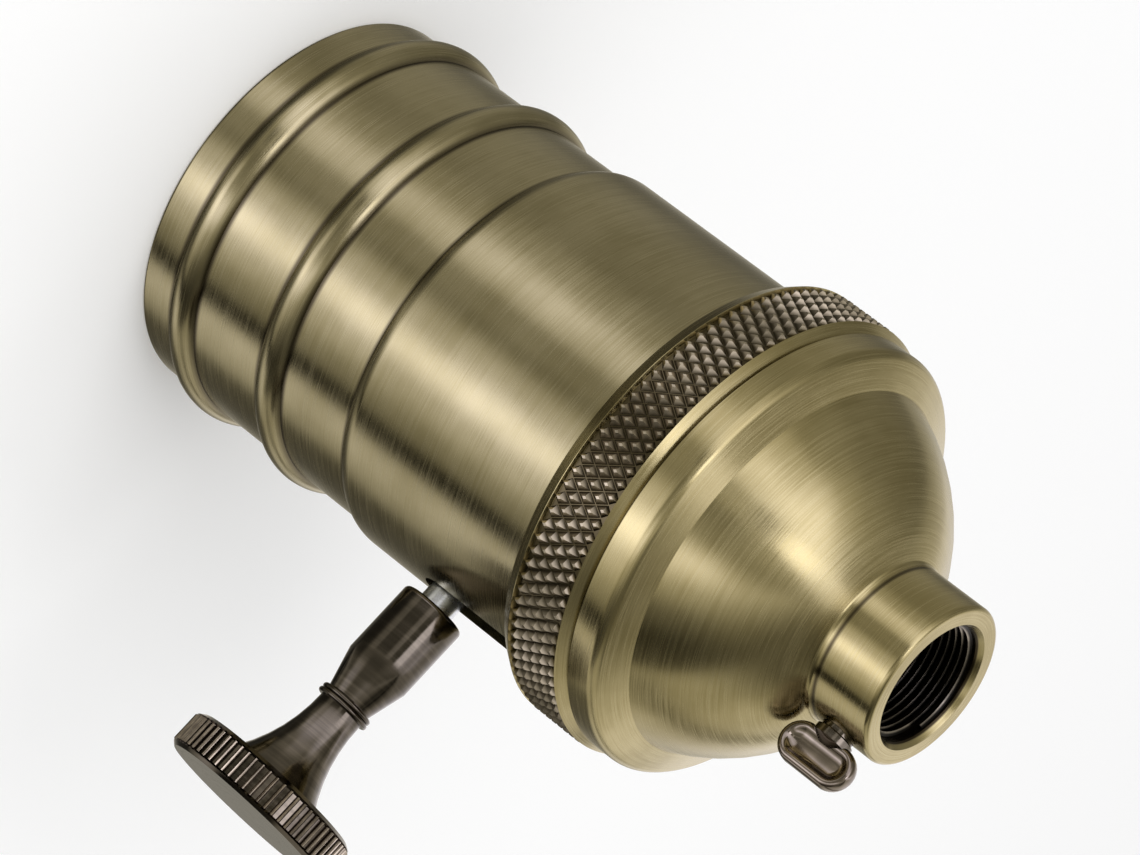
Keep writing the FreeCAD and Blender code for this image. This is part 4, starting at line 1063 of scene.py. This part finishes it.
# %% [markdown]
# ## Hand screw
#
# The head of the hand screw is an oval plate with a rounded rim and a dished face on both sides.
# Ovals at growing distances from the middle, each at its own height, are joined to a closed skin,
# so the rim rounds over smoothly into the dish.

# %% Hand screw
head_half = (screw_high.z - screw_low.z) / 2 / MM
HEAD_END = screw_high.x / MM
HEAD_DEPTH, HEAD_THICK = 3.7, 1.5
head_middle = HEAD_END - HEAD_DEPTH / 2
straight = head_half - HEAD_DEPTH / 2


def oval_row(made, inset, side):
    """One oval of the head's skin: inset from the rim, at a distance from the middle plane."""
    row, half_width, sides = [], HEAD_DEPTH / 2 - inset, 32
    for index in range(sides):
        angle = 2 * math.pi * (index + 0.5) / sides
        shift_up = straight if math.sin(angle) > 0 else -straight
        where = (
            head_middle + half_width * math.cos(angle), side,
            SCREW + shift_up + half_width * math.sin(angle),
        )
        row.append(made.verts.new(Vector(where) * MM))
    return row


made = bmesh.new()
rim = HEAD_THICK / 2
half_skin = [
    (1.60, 0.22), (1.35, 0.24), (1.10, 0.31), (0.92, 0.42), (0.78, 0.55), (0.66, 0.67),
    (0.52, rim - 0.01), (0.36, rim), (0.20, rim - 0.07), (0.08, rim - 0.22), (0.01, rim - 0.42),
]
skin = half_skin + [(0.0, 0.0)] + [(inset, -side) for inset, side in reversed(half_skin)]
oval_rows = [oval_row(made, inset, side) for inset, side in skin]
for row, following in zip(oval_rows, oval_rows[1:]):
    for index in range(len(row)):
        beside = (index + 1) % len(row)
        made.faces.new((row[index], row[beside], following[beside], following[index]))
made.faces.new(oval_rows[0])
made.faces.new(oval_rows[-1])
for face in made.faces:
    face.smooth = True
bmesh.ops.recalc_face_normals(made, faces=made.faces)
head_mesh = finished_mesh("hand_screw", made)
SCREW_TIP = screw_low.x / MM
shank_corners = [
    (0.0, SCREW_TIP), (1.2, SCREW_TIP), (1.5, SCREW_TIP + 0.3), (1.5, 7.6), (1.75, 7.75),
    (1.75, HEAD_END - HEAD_DEPTH + 0.35), (0.7, HEAD_END - HEAD_DEPTH + 0.9),
    (0.0, HEAD_END - HEAD_DEPTH + 0.9),
]
shank_mesh = turn_outline(
    "hand_screw_shank", outline_points(shank_corners), 48, upright=False, height=SCREW
)
polished = plain_finish(
    "polished_dark_plating", (0.24, 0.205, 0.165), (0.17, 0.145, 0.115), 0.10, metallic=1.0,
    grain=300.0, bump=0.02
)
head_piece = new_piece("hand_screw", head_mesh, "clamp_screw", polished)
new_piece("hand_screw_shank", shank_mesh, "clamp_screw", dark_metal)
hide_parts("neck_screw")
print("hand screw faces:", len(head_mesh.polygons) + len(shank_mesh.polygons))

# %% Final update
bpy.context.view_layer.update()
